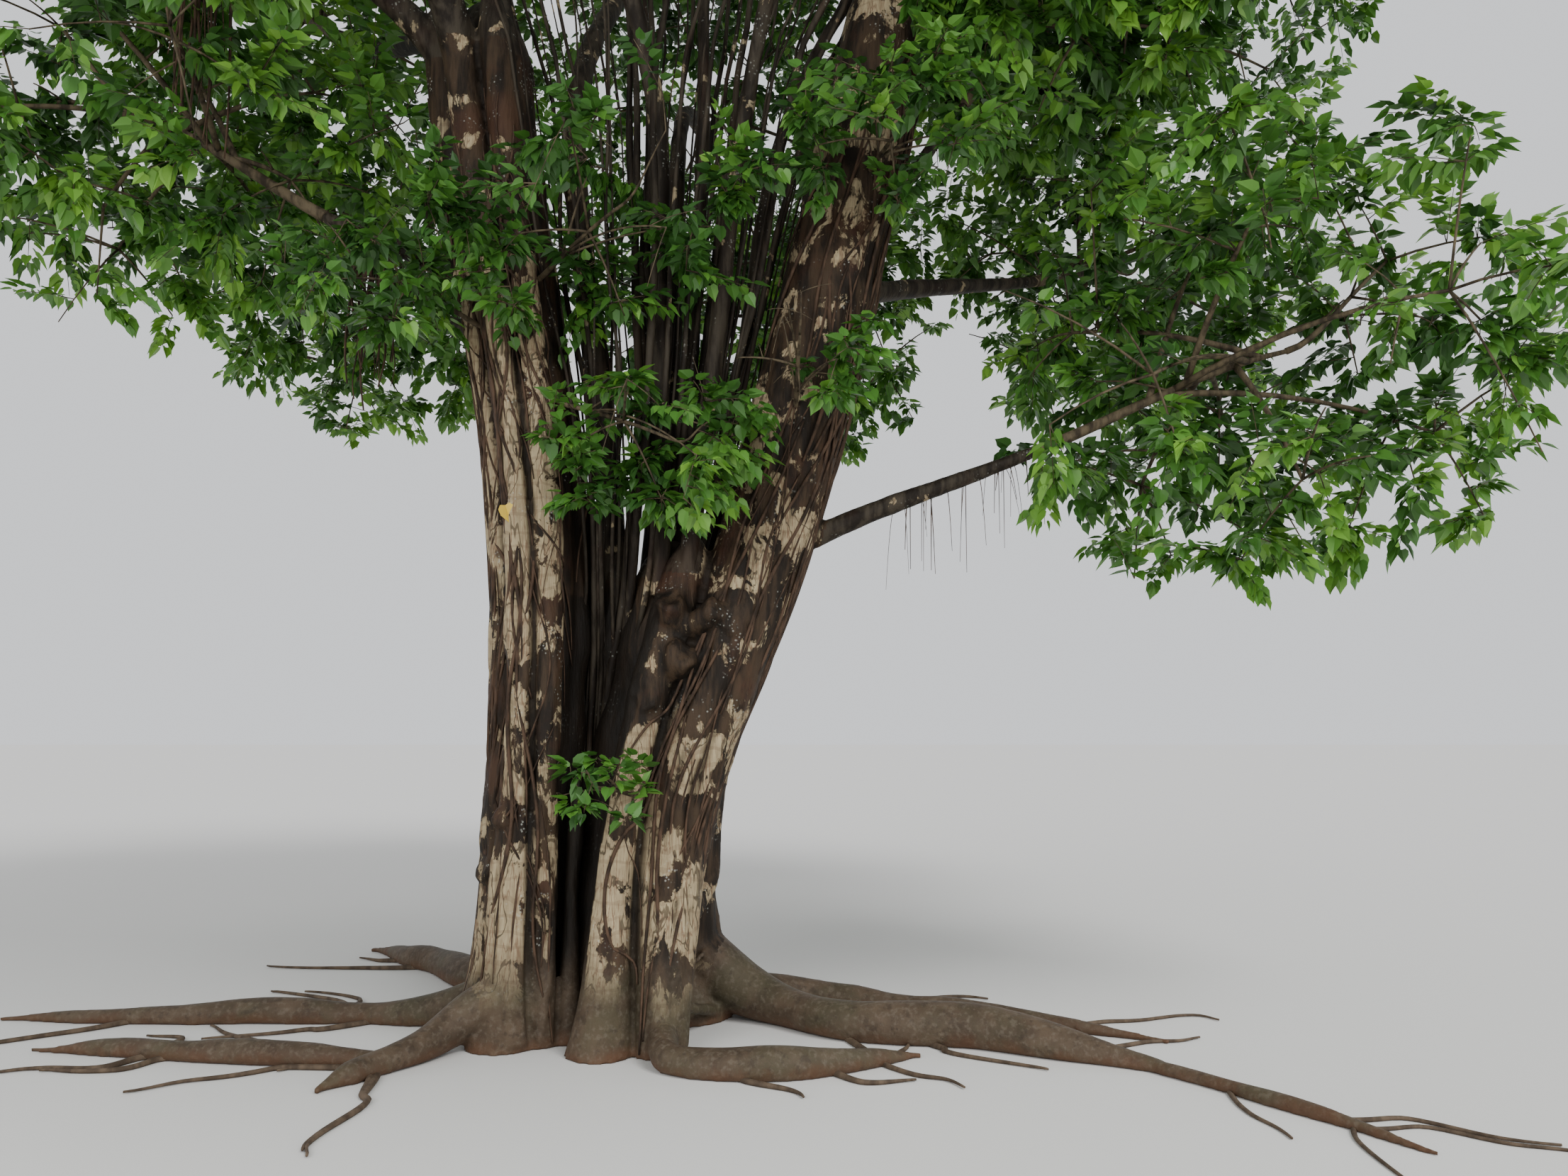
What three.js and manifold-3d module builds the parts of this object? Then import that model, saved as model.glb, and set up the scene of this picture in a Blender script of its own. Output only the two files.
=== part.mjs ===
// A banyan tree: fused trunk columns, two leaning stems, poles between them, boughs, roots and foliage.
// Millimetres, +Z up. The origin is on the flat cut under the trunk, and the side that faces -Y is the front.
import * as THREE from "three";
import { mergeVertices } from "three/addons/utils/BufferGeometryUtils.js";
import Module from "manifold-3d";

const wasm = await Module();
wasm.setup();

// Driving heights
const WAIST_Z = 1100;
const FORK_Z = 2100;
const LEFT_STEM_TOP_Z = 4900;
const RIGHT_STEM_TOP_Z = 5200;
const CROWN_TOP_Z = 11800;

// Clearances. SEAT_GAP lies between pieces that meet, and CUT_GAP is what one is cut back by for another.
// Leaves and twigs keep LIMB_CLEARANCE off every limb. LEAF_MARGIN and TWIG_MARGIN are how far they keep off
// the walls of their mass's space.
const SEAT_GAP = 0.3;
const CUT_GAP = 0.45;
const LIMB_CLEARANCE = 12;
const LEAF_MARGIN = 4;
const TWIG_MARGIN = 50;
const BELOW_GROUND = 120;
const TIDY_TOLERANCE = 0.08;

// How the crown is laid out: tiers of flattened balls round the crown's axis
const CROWN_AXIS = [300, 150];
const FLATTEN = 0.8;
const TOP_MASS_SIZE = 2250;
const UPPER_RING = { count: 5, radius: 2750, z: 8750, size: 2050, turn: -54 };
const MIDDLE_RING = { count: 7, radius: 4050, z: 6850, size: 2050, turn: -116 };

// What each mass is made of
const TWIGS_PER_MASS = 6;
const TWIGS_PER_SHOOT = 4;
const TWIG_REACH = 0.6;
const TWIGS_FROM = 0.45;
const TWIGS_OVER = 0.5;
const TWIG_STRIDE = 5;
const TWIG_RADIUS = 17;
const TWIG_TIP_SHARE = 0.6;
const TWIG_LIFT = 0.06;
const TWIG_SIDES = 3;
const TWIG_RINGS = 2;
const STEM_PAST_CENTRE = 0.12;
const STEM_LIFT = 0.05;
const STEM_TIP_SHARE = 0.5;
const STEM_SIDES = 4;
const STEM_RINGS = 3;
const SHOOT_STEM_RADIUS = 16;
const SHOOT_TWIG_RADIUS = 9;
const SPRAY_LENGTH = 0.6;
const SPRAY_WIDTH = 0.72;
const SPRAY_THICKNESS = 0.03;
const SPRAY_WIDEST = 0.4;
const SPRAY_SPACING = 0.27;
const SPRAY_SHRINK = 0.72;
const SPRAY_DROOP = 0.2;
const SPRAY_ROLL = 0.9;
const SPRAY_SEAT = 0.7;
const FAN_ANGLE = 0.9;
const FAN_SPREAD = 0.3;
const SPRAYS_PER_TWIG = 3;
const SPRAYS_PER_SHOOT_TWIG = 2;
const GOLDEN_ANGLE = Math.PI * (3 - Math.sqrt(5));
const UP = new THREE.Vector3(0, 0, 1);
const FIRST_SEED = 101;
const SEED_STEP = 7;

const BARK = new THREE.MeshStandardMaterial({ color: 0x6b5644, roughness: 0.9, metalness: 0 });
const ROOT_BARK = new THREE.MeshStandardMaterial({ color: 0x5a4c40, roughness: 0.85, metalness: 0 });
const LEAF = new THREE.MeshStandardMaterial({ color: 0x3f7a2a, roughness: 0.55, metalness: 0 });

// Trunk columns. Each runs through foot, waist, fork and top stations as [x, y, radius]. toe is how much it
// widens at the ground. A column with no top station ends at the fork or at endZ.
const COLUMNS = {
  left: [
    { toe: 20, foot: [-300, 0, 200], waist: [-300, 0, 190], fork: [-290, 0, 190], top: [-640, 60, 210] },
    { toe: 120, foot: [-455, 0, 120], waist: [-415, -20, 130], fork: [-440, 20, 122], top: [-880, 60, 118] },
    { toe: 85, foot: [-390, -290, 85], waist: [-335, -240, 90], fork: [-350, -225, 74], top: [-770, -150, 86] },
    { toe: 30, foot: [-215, -280, 52], waist: [-210, -290, 62], fork: [-222, -245, 68], top: [-570, -160, 86] },
    { toe: 40, foot: [-170, 30, 150], waist: [-215, 0, 130], fork: [-180, 20, 112], top: [-560, 110, 110] },
    { toe: 110, foot: [-330, 310, 140], waist: [-330, 260, 140], fork: [-330, 240, 130], top: [-740, 300, 120] },
  ],
  right: [
    { toe: 45, foot: [345, -420, 75], waist: [385, -160, 195], fork: [720, -60, 238], top: [1480, 20, 235] },
    { toe: 30, foot: [325, -60, 70], waist: [500, -40, 80], fork: [865, 10, 100], top: [1610, 120, 120] },
    { toe: 130, foot: [400, 270, 120], waist: [440, 190, 150], fork: [735, 170, 165], top: [1420, 230, 150] },
  ],
  base: [
    { toe: 75, foot: [85, -430, 85], waist: [165, -285, 95], fork: [395, -150, 120] },
    { toe: 20, foot: [30, 40, 260], waist: [110, 80, 200], fork: [290, 60, 165] },
    { toe: 25, foot: [-95, -240, 45], waist: [-90, -170, 30], fork: [-90, -100, 30], endZ: 980 },
    { toe: 40, foot: [40, 150, 110], waist: [60, 130, 95], fork: [60, 110, 90] },
    { toe: 100, foot: [60, 420, 130], waist: [140, 310, 130], fork: [420, 230, 130] },
    { toe: 90, foot: [-140, 440, 110], waist: [-230, 330, 120], fork: [-270, 260, 100] },
  ],
};
const TOE_HEIGHT = 260;
const COLUMN_SIDES = 9;
const COLUMN_STEP = 640;
const RINGS_CROWDED_LOW = 1.25;

// Poles: slender stems that rise between the two big stems, each to the foliage mass that it feeds. foot and
// mid are [x, y], and mid lies at POLE_MID_Z.
const POLE_MID_Z = 4600;
const POLES = {
  pole_1: { foot: [62, 112], mid: [-230, 190], radius: 74, feeds: "upper_3" },
  pole_2: { foot: [300, -120], mid: [250, -140], radius: 56, feeds: "upper_5" },
  pole_3: { foot: [385, 60], mid: [480, 40], radius: 40, feeds: "top" },
  pole_4: { foot: [425, -195], mid: [720, -220], radius: 46, feeds: "upper_1" },
  pole_5: { foot: [290, 210], mid: [330, 280], radius: 52, feeds: "middle_5" },
  pole_6: { foot: [485, 230], mid: [880, 260], radius: 42, feeds: "upper_2" },
};
const POLE_TIP_SHARE = 0.62;
const POLE_ARRIVAL = 0.25;

// Boughs: from is a place on or in a stem, leave the way that the bough sets out, and feeds the mass at its
// end. A limb enters its mass at ENTRY of the mass's size from the centre. LIMB_PULL sets how it curves.
const LEFT_TOP = LEFT_STEM_TOP_Z;
const RIGHT_TOP = RIGHT_STEM_TOP_Z;
const BOUGHS = {
  bough_left_front: { from: [-760, -150, LEFT_TOP], leave: [-0.2, -0.35, 1], radius: 98, feeds: "middle_1" },
  bough_left_out: { from: [-860, 40, LEFT_TOP], leave: [-0.55, 0, 1], radius: 88, feeds: "middle_7" },
  bough_left_back: { from: [-740, 270, LEFT_TOP], leave: [-0.4, 0.3, 1], radius: 92, feeds: "middle_6" },
  bough_left_inner: { from: [-560, 100, LEFT_TOP], leave: [-0.1, 0.1, 1], radius: 84, feeds: "upper_4" },
  bough_right_front: { from: [1440, -110, RIGHT_TOP], leave: [0.1, -0.4, 1], radius: 100, feeds: "middle_2" },
  bough_right_out: { from: [1600, 80, RIGHT_TOP], leave: [0.5, 0, 1], radius: 92, feeds: "middle_3" },
  bough_right_back: { from: [1390, 200, RIGHT_TOP], leave: [0.2, 0.45, 1], radius: 90, feeds: "middle_4" },
  bough_low_right: { from: [900, 0, 2330], leave: [1, 0, 0.5], radius: 62, feeds: "low_right" },
  bough_low_left: { from: [-600, 0, 3600], leave: [-0.8, 0.1, 1], radius: 68, feeds: "low_left" },
  bough_inner_right: { from: [1250, 20, 3900], leave: [0.7, 0, 0.9], radius: 55, feeds: "inner_right" },
  bough_low_back_left: { from: [-480, 260, 3300], leave: [-0.4, 1, 0.7], radius: 70, feeds: "low_back_left" },
  bough_low_back: { from: [1000, 150, 3100], leave: [-0.1, 1, 0.7], radius: 74, feeds: "low_back" },
  bough_low_back_side: { from: [1150, 150, 3700], leave: [0.6, 1, 0.5], radius: 70, feeds: "low_back_right" },
};
const ENTRY = 0.82;
const LIMB_PULL = 0.38;
const STEM_PULL = 0.35;
const BOUGH_TIP_SHARE = 0.5;
const BOUGH_SIDES = 6;
const BOUGH_RINGS = 6;
const POLE_RINGS = 8;

// Masses that aren't in a ring, and shoots, which spring from the place on the trunk that grows gives
const LOW_MASSES = {
  foliage_low_left: { centre: [-2550, 250, 4750], size: 1550 },
  foliage_low_right: { centre: [3400, 100, 3350], size: 1650 },
  foliage_inner_right: { centre: [2350, -50, 5350], size: 1150 },
  foliage_low_back_left: { centre: [-2150, 2850, 4850], size: 1650 },
  foliage_low_back: { centre: [850, 3550, 4750], size: 1650 },
  foliage_low_back_right: { centre: [3450, 2750, 4850], size: 1650 },
};
const SHOOTS = {
  shoots_front_upper: { centre: [120, -740, 3780], size: 920, grows: [-470, 0, 3650] },
  shoots_front_middle: { centre: [320, -660, 2780], size: 660, grows: [-400, 0, 3150] },
  shoots_front_right: { centre: [980, -620, 3200], size: 500, grows: [960, -50, 2900] },
  shoots_left: { centre: [-1050, -400, 3650], size: 560, grows: [-560, 0, 3450] },
  shoots_right_upper: { centre: [1460, -620, 4250], size: 660, grows: [1300, -30, 4250] },
  shoots_low: { centre: [120, -580, 1180], size: 340, grows: [330, -140, 1080] },
};

// Roots that lie on the ground, each through stations of [x, y, z of its centreline, radius]
const ROOTS = {
  root_left_front: [[-420, -300, 210, 105], [-610, -420, 95, 92], [-770, -670, 40, 72], [-960, -990, 8, 34]],
  root_left_branch: [[-770, -650, 20, 50], [-1200, -560, 34, 58], [-1750, -500, 26, 52], [-2500, -380, 5, 24]],
  root_left_side: [[-450, 60, 190, 105], [-750, 110, 70, 80], [-1700, 130, 38, 66], [-3000, 160, 4, 30]],
  root_back_left: [[-330, 330, 190, 100], [-650, 720, 70, 88], [-1150, 1300, 45, 80], [-1750, 1900, 8, 38]],
  root_back: [[60, 420, 190, 100], [150, 850, 70, 84], [-60, 1450, 40, 70], [120, 2250, 6, 32]],
  root_right_main: [
    [400, 270, 330, 150],
    [720, 200, 130, 118],
    [1150, -130, 70, 104],
    [1880, -300, 62, 98],
    [2520, -700, 6, 40],
  ],
  root_right_end: [[2440, -640, 14, 34], [2750, -1040, 12, 36], [3210, -1700, 3, 20]],
  root_right_back: [[430, 330, 160, 85], [1050, 480, 55, 70], [1750, 210, 40, 62], [2700, -260, 5, 28]],
  root_front_right: [[345, -430, 110, 66], [430, -680, 48, 70], [900, -760, 42, 70], [1520, -480, 5, 30]],
};
const ROOT_SIDES = 7;
const ROOT_STEP = 320;
const HIGHEST_ROOT = 3000;

// Bunches of hanging aerial roots: share is where along its bough a bunch leaves, and drop is its length.
const HANGING = {
  hanging_roots_far_left: { on: "bough_left_out", share: 0.8, drop: 1500, spread: 170, radius: 14 },
  hanging_roots_left: { on: "bough_low_left", share: 0.72, drop: 900, spread: 130, radius: 13 },
};
const STRANDS = 5;
const SPREAD_DEPTH = 0.7;
const SHORTER_BY = 0.11;
const STRAND_RINGS = 4;
const STRAND_TIP_SHARE = 0.55;
const STUB_LENGTH = 150;
const STUB_WIDTH = 2.4;
const STUB_SIDES = 5;

// A repeatable stream of numbers from 0 to 1
function seeded(seed) {
  let state = seed;
  return () => {
    state = (Math.imul(state, 1664525) + 1013904223) >>> 0;
    return state / 4294967296;
  };
}

const point = ([x, y, z]) => new THREE.Vector3(x, y, z);

// A closed geometry in the frame as a solid that joins and cuts
function solidFrom(geometry) {
  const bare = geometry.clone();
  bare.deleteAttribute("normal");
  bare.deleteAttribute("uv");
  const merged = mergeVertices(bare, 1e-3);
  return new wasm.Manifold(
    new wasm.Mesh({
      numProp: 3,
      vertProperties: new Float32Array(merged.attributes.position.array),
      triVerts: new Uint32Array(merged.index.array),
    }),
  );
}

// A solid back to a geometry. Hollows that joining has sealed are filled, loose scraps are dropped, and
// corners that make no difference are merged.
function geometryFrom(solid) {
  const bodies = solid.asOriginal().simplify(TIDY_TOLERANCE).decompose();
  const main = bodies.sort((a, b) => b.volume() - a.volume())[0];
  const mesh = main.getMesh();
  const geometry = new THREE.BufferGeometry();
  geometry.setAttribute("position", new THREE.BufferAttribute(new Float32Array(mesh.vertProperties), 3));
  geometry.setIndex(new THREE.BufferAttribute(new Uint32Array(mesh.triVerts), 1));
  geometry.computeVertexNormals();
  return geometry;
}

const join = (solids) => wasm.Manifold.union(solids);

// A capped cylinder bent along a curve, with its radius as a function of the share of the way along
function tube(curve, radiusAt, sides, rings) {
  const geometry = new THREE.CylinderGeometry(1, 1, 1, sides, rings);
  const frames = curve.computeFrenetFrames(rings, false);
  const position = geometry.attributes.position;
  for (let i = 0; i < position.count; i++) {
    const share = 0.5 - position.getY(i);
    const ring = Math.round(share * rings);
    const radius = radiusAt(share);
    const place = curve
      .getPointAt(share)
      .addScaledVector(frames.normals[ring], position.getX(i) * radius)
      .addScaledVector(frames.binormals[ring], position.getZ(i) * radius);
    position.setXYZ(i, place.x, place.y, place.z);
  }
  return geometry;
}

// A tube as a solid that faces out whichever way its frame turned
function tubeSolid(curve, radiusAt, sides, rings) {
  const geometry = tube(curve, radiusAt, sides, rings);
  const solid = solidFrom(geometry);
  if (solid.volume() > 0) return solid;
  const index = geometry.index.array;
  for (let i = 0; i < index.length; i += 3) {
    [index[i + 1], index[i + 2]] = [index[i + 2], index[i + 1]];
  }
  return solidFrom(geometry);
}

const taper = (from, to) => (share) => from + (to - from) * share;

// A slab of space between two heights, for flat cuts
function slab(lowZ, highZ) {
  const reach = 20000;
  const box = new THREE.BoxGeometry(reach, reach, highZ - lowZ);
  box.translate(0, 0, (lowZ + highZ) / 2);
  return solidFrom(box);
}

// One trunk column: level rings whose centre and radius follow the stations, swelling to a toe at the ground
function column({ foot, waist, fork, top, toe, endZ }, topZ, grown = 0) {
  const stations = [foot, waist, fork].concat(top ? [top] : []);
  const heights = [0, WAIST_Z, FORK_Z].concat(top ? [topZ] : []);
  const path = new THREE.CatmullRomCurve3(
    stations.map(([x, y], i) => new THREE.Vector3(x, y, heights[i])),
    false,
    "centripetal",
  );
  const radii = new THREE.SplineCurve(stations.map(([, , r], i) => new THREE.Vector2(heights[i], r)));
  const end = endZ ?? heights[heights.length - 1];
  const rings = Math.max(3, Math.round(end / COLUMN_STEP) + 1);
  const geometry = new THREE.CylinderGeometry(1, 1, 1, COLUMN_SIDES, rings);
  geometry.rotateX(Math.PI / 2);
  const position = geometry.attributes.position;
  for (let i = 0; i < position.count; i++) {
    const share = Math.round((position.getZ(i) + 0.5) * rings) / rings;
    const z = share ** RINGS_CROWDED_LOW * (end + BELOW_GROUND) - BELOW_GROUND;
    const along = parameterAt(heights, Math.max(z, 0));
    const centre = path.getPoint(along);
    const swell = toe * Math.exp(-Math.max(z, 0) / TOE_HEIGHT);
    const radius = radii.getPoint(along).y + swell + grown;
    position.setXYZ(i, centre.x + position.getX(i) * radius, centre.y + position.getY(i) * radius, z);
  }
  return solidFrom(geometry);
}

// The spline parameter at a height, where stations are evenly spaced in the parameter
function parameterAt(heights, z) {
  const last = heights.length - 1;
  for (let i = 0; i < last; i++) {
    if (z <= heights[i + 1]) return (i + (z - heights[i]) / (heights[i + 1] - heights[i])) / last;
  }
  return 1;
}

// The trunk up to the fork, and the two stems above it, each a bundle of fused columns
function trunkAndStems(grown = 0) {
  const left = join(COLUMNS.left.map((c) => column(c, LEFT_STEM_TOP_Z, grown)));
  const right = join(COLUMNS.right.map((c) => column(c, RIGHT_STEM_TOP_Z, grown)));
  const base = join(COLUMNS.base.map((c) => column(c, FORK_Z, grown)));
  return {
    trunk: join([left, right, base]).intersect(slab(0, FORK_Z + grown)),
    left_stem: left.intersect(slab(FORK_Z + SEAT_GAP, LEFT_STEM_TOP_Z + grown)),
    right_stem: right.intersect(slab(FORK_Z + SEAT_GAP, RIGHT_STEM_TOP_Z + grown)),
  };
}

// Every mass: its centre, its size and where it comes from
function layOutMasses() {
  const [axisX, axisY] = CROWN_AXIS;
  const ring = (tier, { count, radius, z, size, turn }) =>
    Array.from({ length: count }, (_, i) => {
      const angle = THREE.MathUtils.degToRad(turn + (360 / count) * i);
      const centre = [axisX + radius * Math.cos(angle), axisY + radius * Math.sin(angle), z];
      return { name: `foliage_${tier}_${i + 1}`, centre, size };
    });
  const topCentre = [axisX, axisY, CROWN_TOP_Z - TOP_MASS_SIZE * FLATTEN];
  const single = (group) => Object.entries(group).map(([name, rest]) => ({ name, ...rest }));
  return [
    { name: "foliage_top", centre: topCentre, size: TOP_MASS_SIZE },
    ...ring("upper", UPPER_RING),
    ...ring("middle", MIDDLE_RING),
    ...single(LOW_MASSES),
    ...single(SHOOTS),
  ].map((mass, i) => ({ ...mass, centre: point(mass.centre), seed: FIRST_SEED + SEED_STEP * i }));
}

// Distance from a mass's centre in the flattened measure, in which every mass is a ball
function measure(place, centre) {
  return Math.hypot(place.x - centre.x, place.y - centre.y, (place.z - centre.z) / FLATTEN);
}

// Whether a place is inside a mass's own space: its ball, cut by flat walls halfway to each neighbour
function inOwnSpace(place, mass, masses, margin) {
  const own = measure(place, mass.centre);
  if (own > mass.size - margin) return false;
  return masses.every((other) => {
    if (other === mass) return true;
    const theirs = measure(place, other.centre);
    const wall = theirs ** 2 - other.size ** 2 - (own ** 2 - mass.size ** 2);
    return wall > 2 * margin * measure(mass.centre, other.centre);
  });
}

// Where a limb that comes from a place enters a mass, on its ball drawn in a little
function entryPoint(mass, from) {
  const way = from.clone().sub(mass.centre);
  return mass.centre.clone().addScaledVector(way, (ENTRY * mass.size) / measure(from, mass.centre));
}

// A limb's centreline: sets out one way and arrives at a mass heading for its centre
function limbCurve(from, leave, mass) {
  const tip = entryPoint(mass, from);
  const pull = from.distanceTo(tip) * LIMB_PULL;
  const arrive = mass.centre.clone().sub(tip).normalize();
  const first = from.clone().addScaledVector(leave.clone().normalize(), pull);
  return new THREE.CubicBezierCurve3(from, first, tip.clone().addScaledVector(arrive, -pull), tip);
}

// A pole's centreline: up through the gap between the stems, then out to its mass
function poleCurve(pole, mass) {
  const foot = new THREE.Vector3(pole.foot[0], pole.foot[1], FORK_Z + SEAT_GAP);
  const mid = new THREE.Vector3(pole.mid[0], pole.mid[1], POLE_MID_Z);
  const lower = foot.clone().lerp(mid, 0.5);
  const tip = entryPoint(mass, mid);
  const arrive = mass.centre.clone().sub(tip).normalize();
  const upper = tip.clone().addScaledVector(arrive, -mid.distanceTo(tip) * POLE_ARRIVAL);
  return new THREE.CatmullRomCurve3([foot, lower, mid, upper, tip], false, "centripetal");
}

// A leaf spray: a flat kite of eight faces, from root to tip, with its widest place part of the way along
function spray(root, along, across, length) {
  const up = new THREE.Vector3().crossVectors(across, along).normalize();
  const widest = root.clone().addScaledVector(along, length * SPRAY_WIDEST);
  const halfWidth = (length * SPRAY_WIDTH) / 2;
  const halfThick = (length * SPRAY_THICKNESS) / 2;
  const corners = [
    root,
    root.clone().addScaledVector(along, length),
    widest.clone().addScaledVector(across, halfWidth),
    widest.clone().addScaledVector(across, -halfWidth),
    widest.clone().addScaledVector(up, halfThick),
    widest.clone().addScaledVector(up, -halfThick),
  ];
  return { corners, solid: kiteSolid(corners) };
}

// The kite through six corners, facing out whichever way its corners turn
function kiteSolid(corners) {
  const geometry = new THREE.BufferGeometry();
  geometry.setFromPoints(corners);
  const faces = [[0, 2, 4], [2, 1, 4], [1, 3, 4], [3, 0, 4], [2, 0, 5], [1, 2, 5], [3, 1, 5], [0, 3, 5]];
  geometry.setIndex(faces.flat());
  const solid = solidFrom(geometry);
  if (solid.volume() > 0) return solid;
  geometry.setIndex(faces.flatMap(([a, b, c]) => [a, c, b]));
  return solidFrom(geometry);
}

// Directions spread evenly round a ball by the golden angle
function evenDirection(i, count, turn) {
  const z = 1 - (2 * i + 1) / count;
  const level = Math.sqrt(1 - z * z);
  const angle = i * GOLDEN_ANGLE + turn;
  return new THREE.Vector3(level * Math.cos(angle), level * Math.sin(angle), z * FLATTEN);
}

// The stem of a mass: from the tip of its limb, or from inside the trunk for a shoot, to just past its centre
function massStem(mass) {
  const end = mass.centre.clone().lerp(mass.start, -STEM_PAST_CENTRE);
  const pull = mass.start.distanceTo(end) * STEM_PULL;
  const first = mass.start.clone().addScaledVector(mass.heading, pull);
  const last = end.clone().lerp(mass.start, STEM_PULL);
  last.z += mass.size * STEM_LIFT;
  const curve = new THREE.CubicBezierCurve3(mass.start, first, last, end);
  const radiusAt = taper(mass.startRadius, mass.startRadius * STEM_TIP_SHARE);
  return { curve, solid: tubeSolid(curve, radiusAt, STEM_SIDES, STEM_RINGS) };
}

// One mass: twigs leave the stem for evenly spread targets, and each carries sprays. What would leave the
// mass's own space or touch a limb is skipped.
function growMass(mass, masses, limbs) {
  const random = seeded(mass.seed);
  const turn = random() * 2 * Math.PI;
  const twigs = mass.grows ? TWIGS_PER_SHOOT : TWIGS_PER_MASS;
  const twigRadius = mass.grows ? SHOOT_TWIG_RADIUS : TWIG_RADIUS;
  const pieces = [mass.stem.solid];
  const fits = (places, margin) => places.every((p) => inOwnSpace(p, mass, masses, margin));
  const clear = (solid) => limbs.intersect(solid).isEmpty();
  const sprays = [];
  for (let i = 0; i < twigs; i++) {
    const target = mass.centre.clone().addScaledVector(evenDirection(i, twigs, turn), mass.size * TWIG_REACH);
    const share = TWIGS_FROM + (TWIGS_OVER * ((i * TWIG_STRIDE) % twigs)) / twigs;
    const root = onTube(mass.stem.curve, STEM_RINGS, share).place;
    const bend = root.clone().lerp(target, 0.5);
    bend.z += mass.size * TWIG_LIFT;
    if (!fits([bend, target], TWIG_MARGIN)) continue;
    const curve = new THREE.CatmullRomCurve3([root, bend, target], false, "centripetal");
    const twig = tubeSolid(curve, taper(twigRadius, twigRadius * TWIG_TIP_SHARE), TWIG_SIDES, TWIG_RINGS);
    if (!clear(twig)) continue;
    pieces.push(twig);
    addSprays(sprays, curve, twigRadius, mass, random, fits, clear);
  }
  return join([...pieces, ...sprays]);
}

// A place on a bent tube's straight runs, and the way the tube heads there
function onTube(curve, rings, share) {
  const run = Math.min(Math.floor(share * rings), rings - 1);
  const low = curve.getPointAt(run / rings);
  const high = curve.getPointAt((run + 1) / rings);
  const heading = high.clone().sub(low).normalize();
  return { place: low.lerp(high, share * rings - run), heading };
}

// The sprays of one twig: one past its tip, and the rest fanned along it, left and right in turn. One that
// doesn't fit, or that touches a spray already there, is shrunk once and then left out.
function addSprays(sprays, curve, twigRadius, mass, random, fits, clear) {
  const count = mass.grows ? SPRAYS_PER_SHOOT_TWIG : SPRAYS_PER_TWIG;
  const apart = (solid) => sprays.every((other) => other.intersect(solid).isEmpty());
  for (let k = 0; k < count; k++) {
    const { place, heading } = onTube(curve, TWIG_RINGS, 1 - k * SPRAY_SPACING);
    const swing = k === 0 ? 0 : (k % 2 ? 1 : -1) * (FAN_ANGLE + FAN_SPREAD * random());
    const along = heading.clone().applyAxisAngle(UP, swing);
    along.z -= SPRAY_DROOP * random();
    along.normalize();
    const across = new THREE.Vector3().crossVectors(along, UP).normalize();
    across.applyAxisAngle(along, SPRAY_ROLL * (random() - 0.5));
    const root = place.addScaledVector(along, -SPRAY_SEAT * twigRadius);
    for (const shrink of [1, SPRAY_SHRINK]) {
      const made = spray(root, along, across, mass.size * SPRAY_LENGTH * shrink);
      if (!fits(made.corners.slice(1), LEAF_MARGIN) || !clear(made.solid) || !apart(made.solid)) continue;
      sprays.push(made.solid);
      break;
    }
  }
}

// A root on the ground: a tube through its stations, grown where asked, and cut flat at ground level
function rootSolid(stations, grown = 0) {
  const path = new THREE.CatmullRomCurve3(
    stations.map(([x, y, z]) => new THREE.Vector3(x, y, z)),
    false,
    "centripetal",
  );
  const last = stations.length - 1;
  const radii = new THREE.SplineCurve(stations.map(([, , , r], i) => new THREE.Vector2(i / last, r + grown)));
  const rings = Math.round(path.getLength() / ROOT_STEP) + 2;
  const radiusAt = (share) => radii.getPoint(path.getUtoTmapping(share)).y;
  return tubeSolid(path, radiusAt, ROOT_SIDES, rings).intersect(slab(0, HIGHEST_ROOT));
}

// A bunch of hanging roots that spring from one short stub under a bough and fan out on their way down
function hangingSolid({ share, drop, spread, radius }, boughCurve) {
  const top = boughCurve.getPointAt(share);
  const below = (place, depth) => new THREE.Vector3(place.x, place.y, place.z - depth);
  const stub = new THREE.LineCurve3(top, below(top, STUB_LENGTH));
  const pieces = [tubeSolid(stub, () => radius * STUB_WIDTH, STUB_SIDES, 1)];
  const from = below(top, STUB_LENGTH - 2 * radius);
  for (let i = 0; i < STRANDS; i++) {
    const angle = (2 * Math.PI * i) / STRANDS;
    const out = new THREE.Vector3(spread * Math.cos(angle), spread * SPREAD_DEPTH * Math.sin(angle), 0);
    const length = drop * (1 - SHORTER_BY * ((i * 2) % STRANDS));
    const elbow = below(from.clone().addScaledVector(out, 3 / 4), length / 4);
    const low = below(from.clone().add(out), length);
    const curve = new THREE.CatmullRomCurve3([from, elbow, low], false, "centripetal");
    pieces.push(tubeSolid(curve, taper(radius, radius * STRAND_TIP_SHARE), TWIG_SIDES, STRAND_RINGS));
  }
  return join(pieces);
}

// Records where a mass's stem starts: a seat gap past its limb's tip
function seatMass(mass, curve, tipRadius) {
  mass.heading = curve.getTangent(1);
  mass.start = curve.getPoint(1).addScaledVector(mass.heading, SEAT_GAP);
  mass.startRadius = tipRadius;
}

const tree = new THREE.Group();

// Adds a solid to the tree as a named mesh
function addNode(name, solid, material) {
  const mesh = new THREE.Mesh(geometryFrom(solid), material);
  mesh.name = name;
  tree.add(mesh);
}

for (const [name, solid] of Object.entries(trunkAndStems())) addNode(name, solid, BARK);
const grownTrunk = join(Object.values(trunkAndStems(CUT_GAP)));

const masses = layOutMasses();
const massNamed = Object.fromEntries(masses.map((mass) => [mass.name, mass]));

// What leaves and twigs keep off. Trunk, poles and boughs count with their clearance.
const limbSolids = Object.values(trunkAndStems(LIMB_CLEARANCE));

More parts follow.
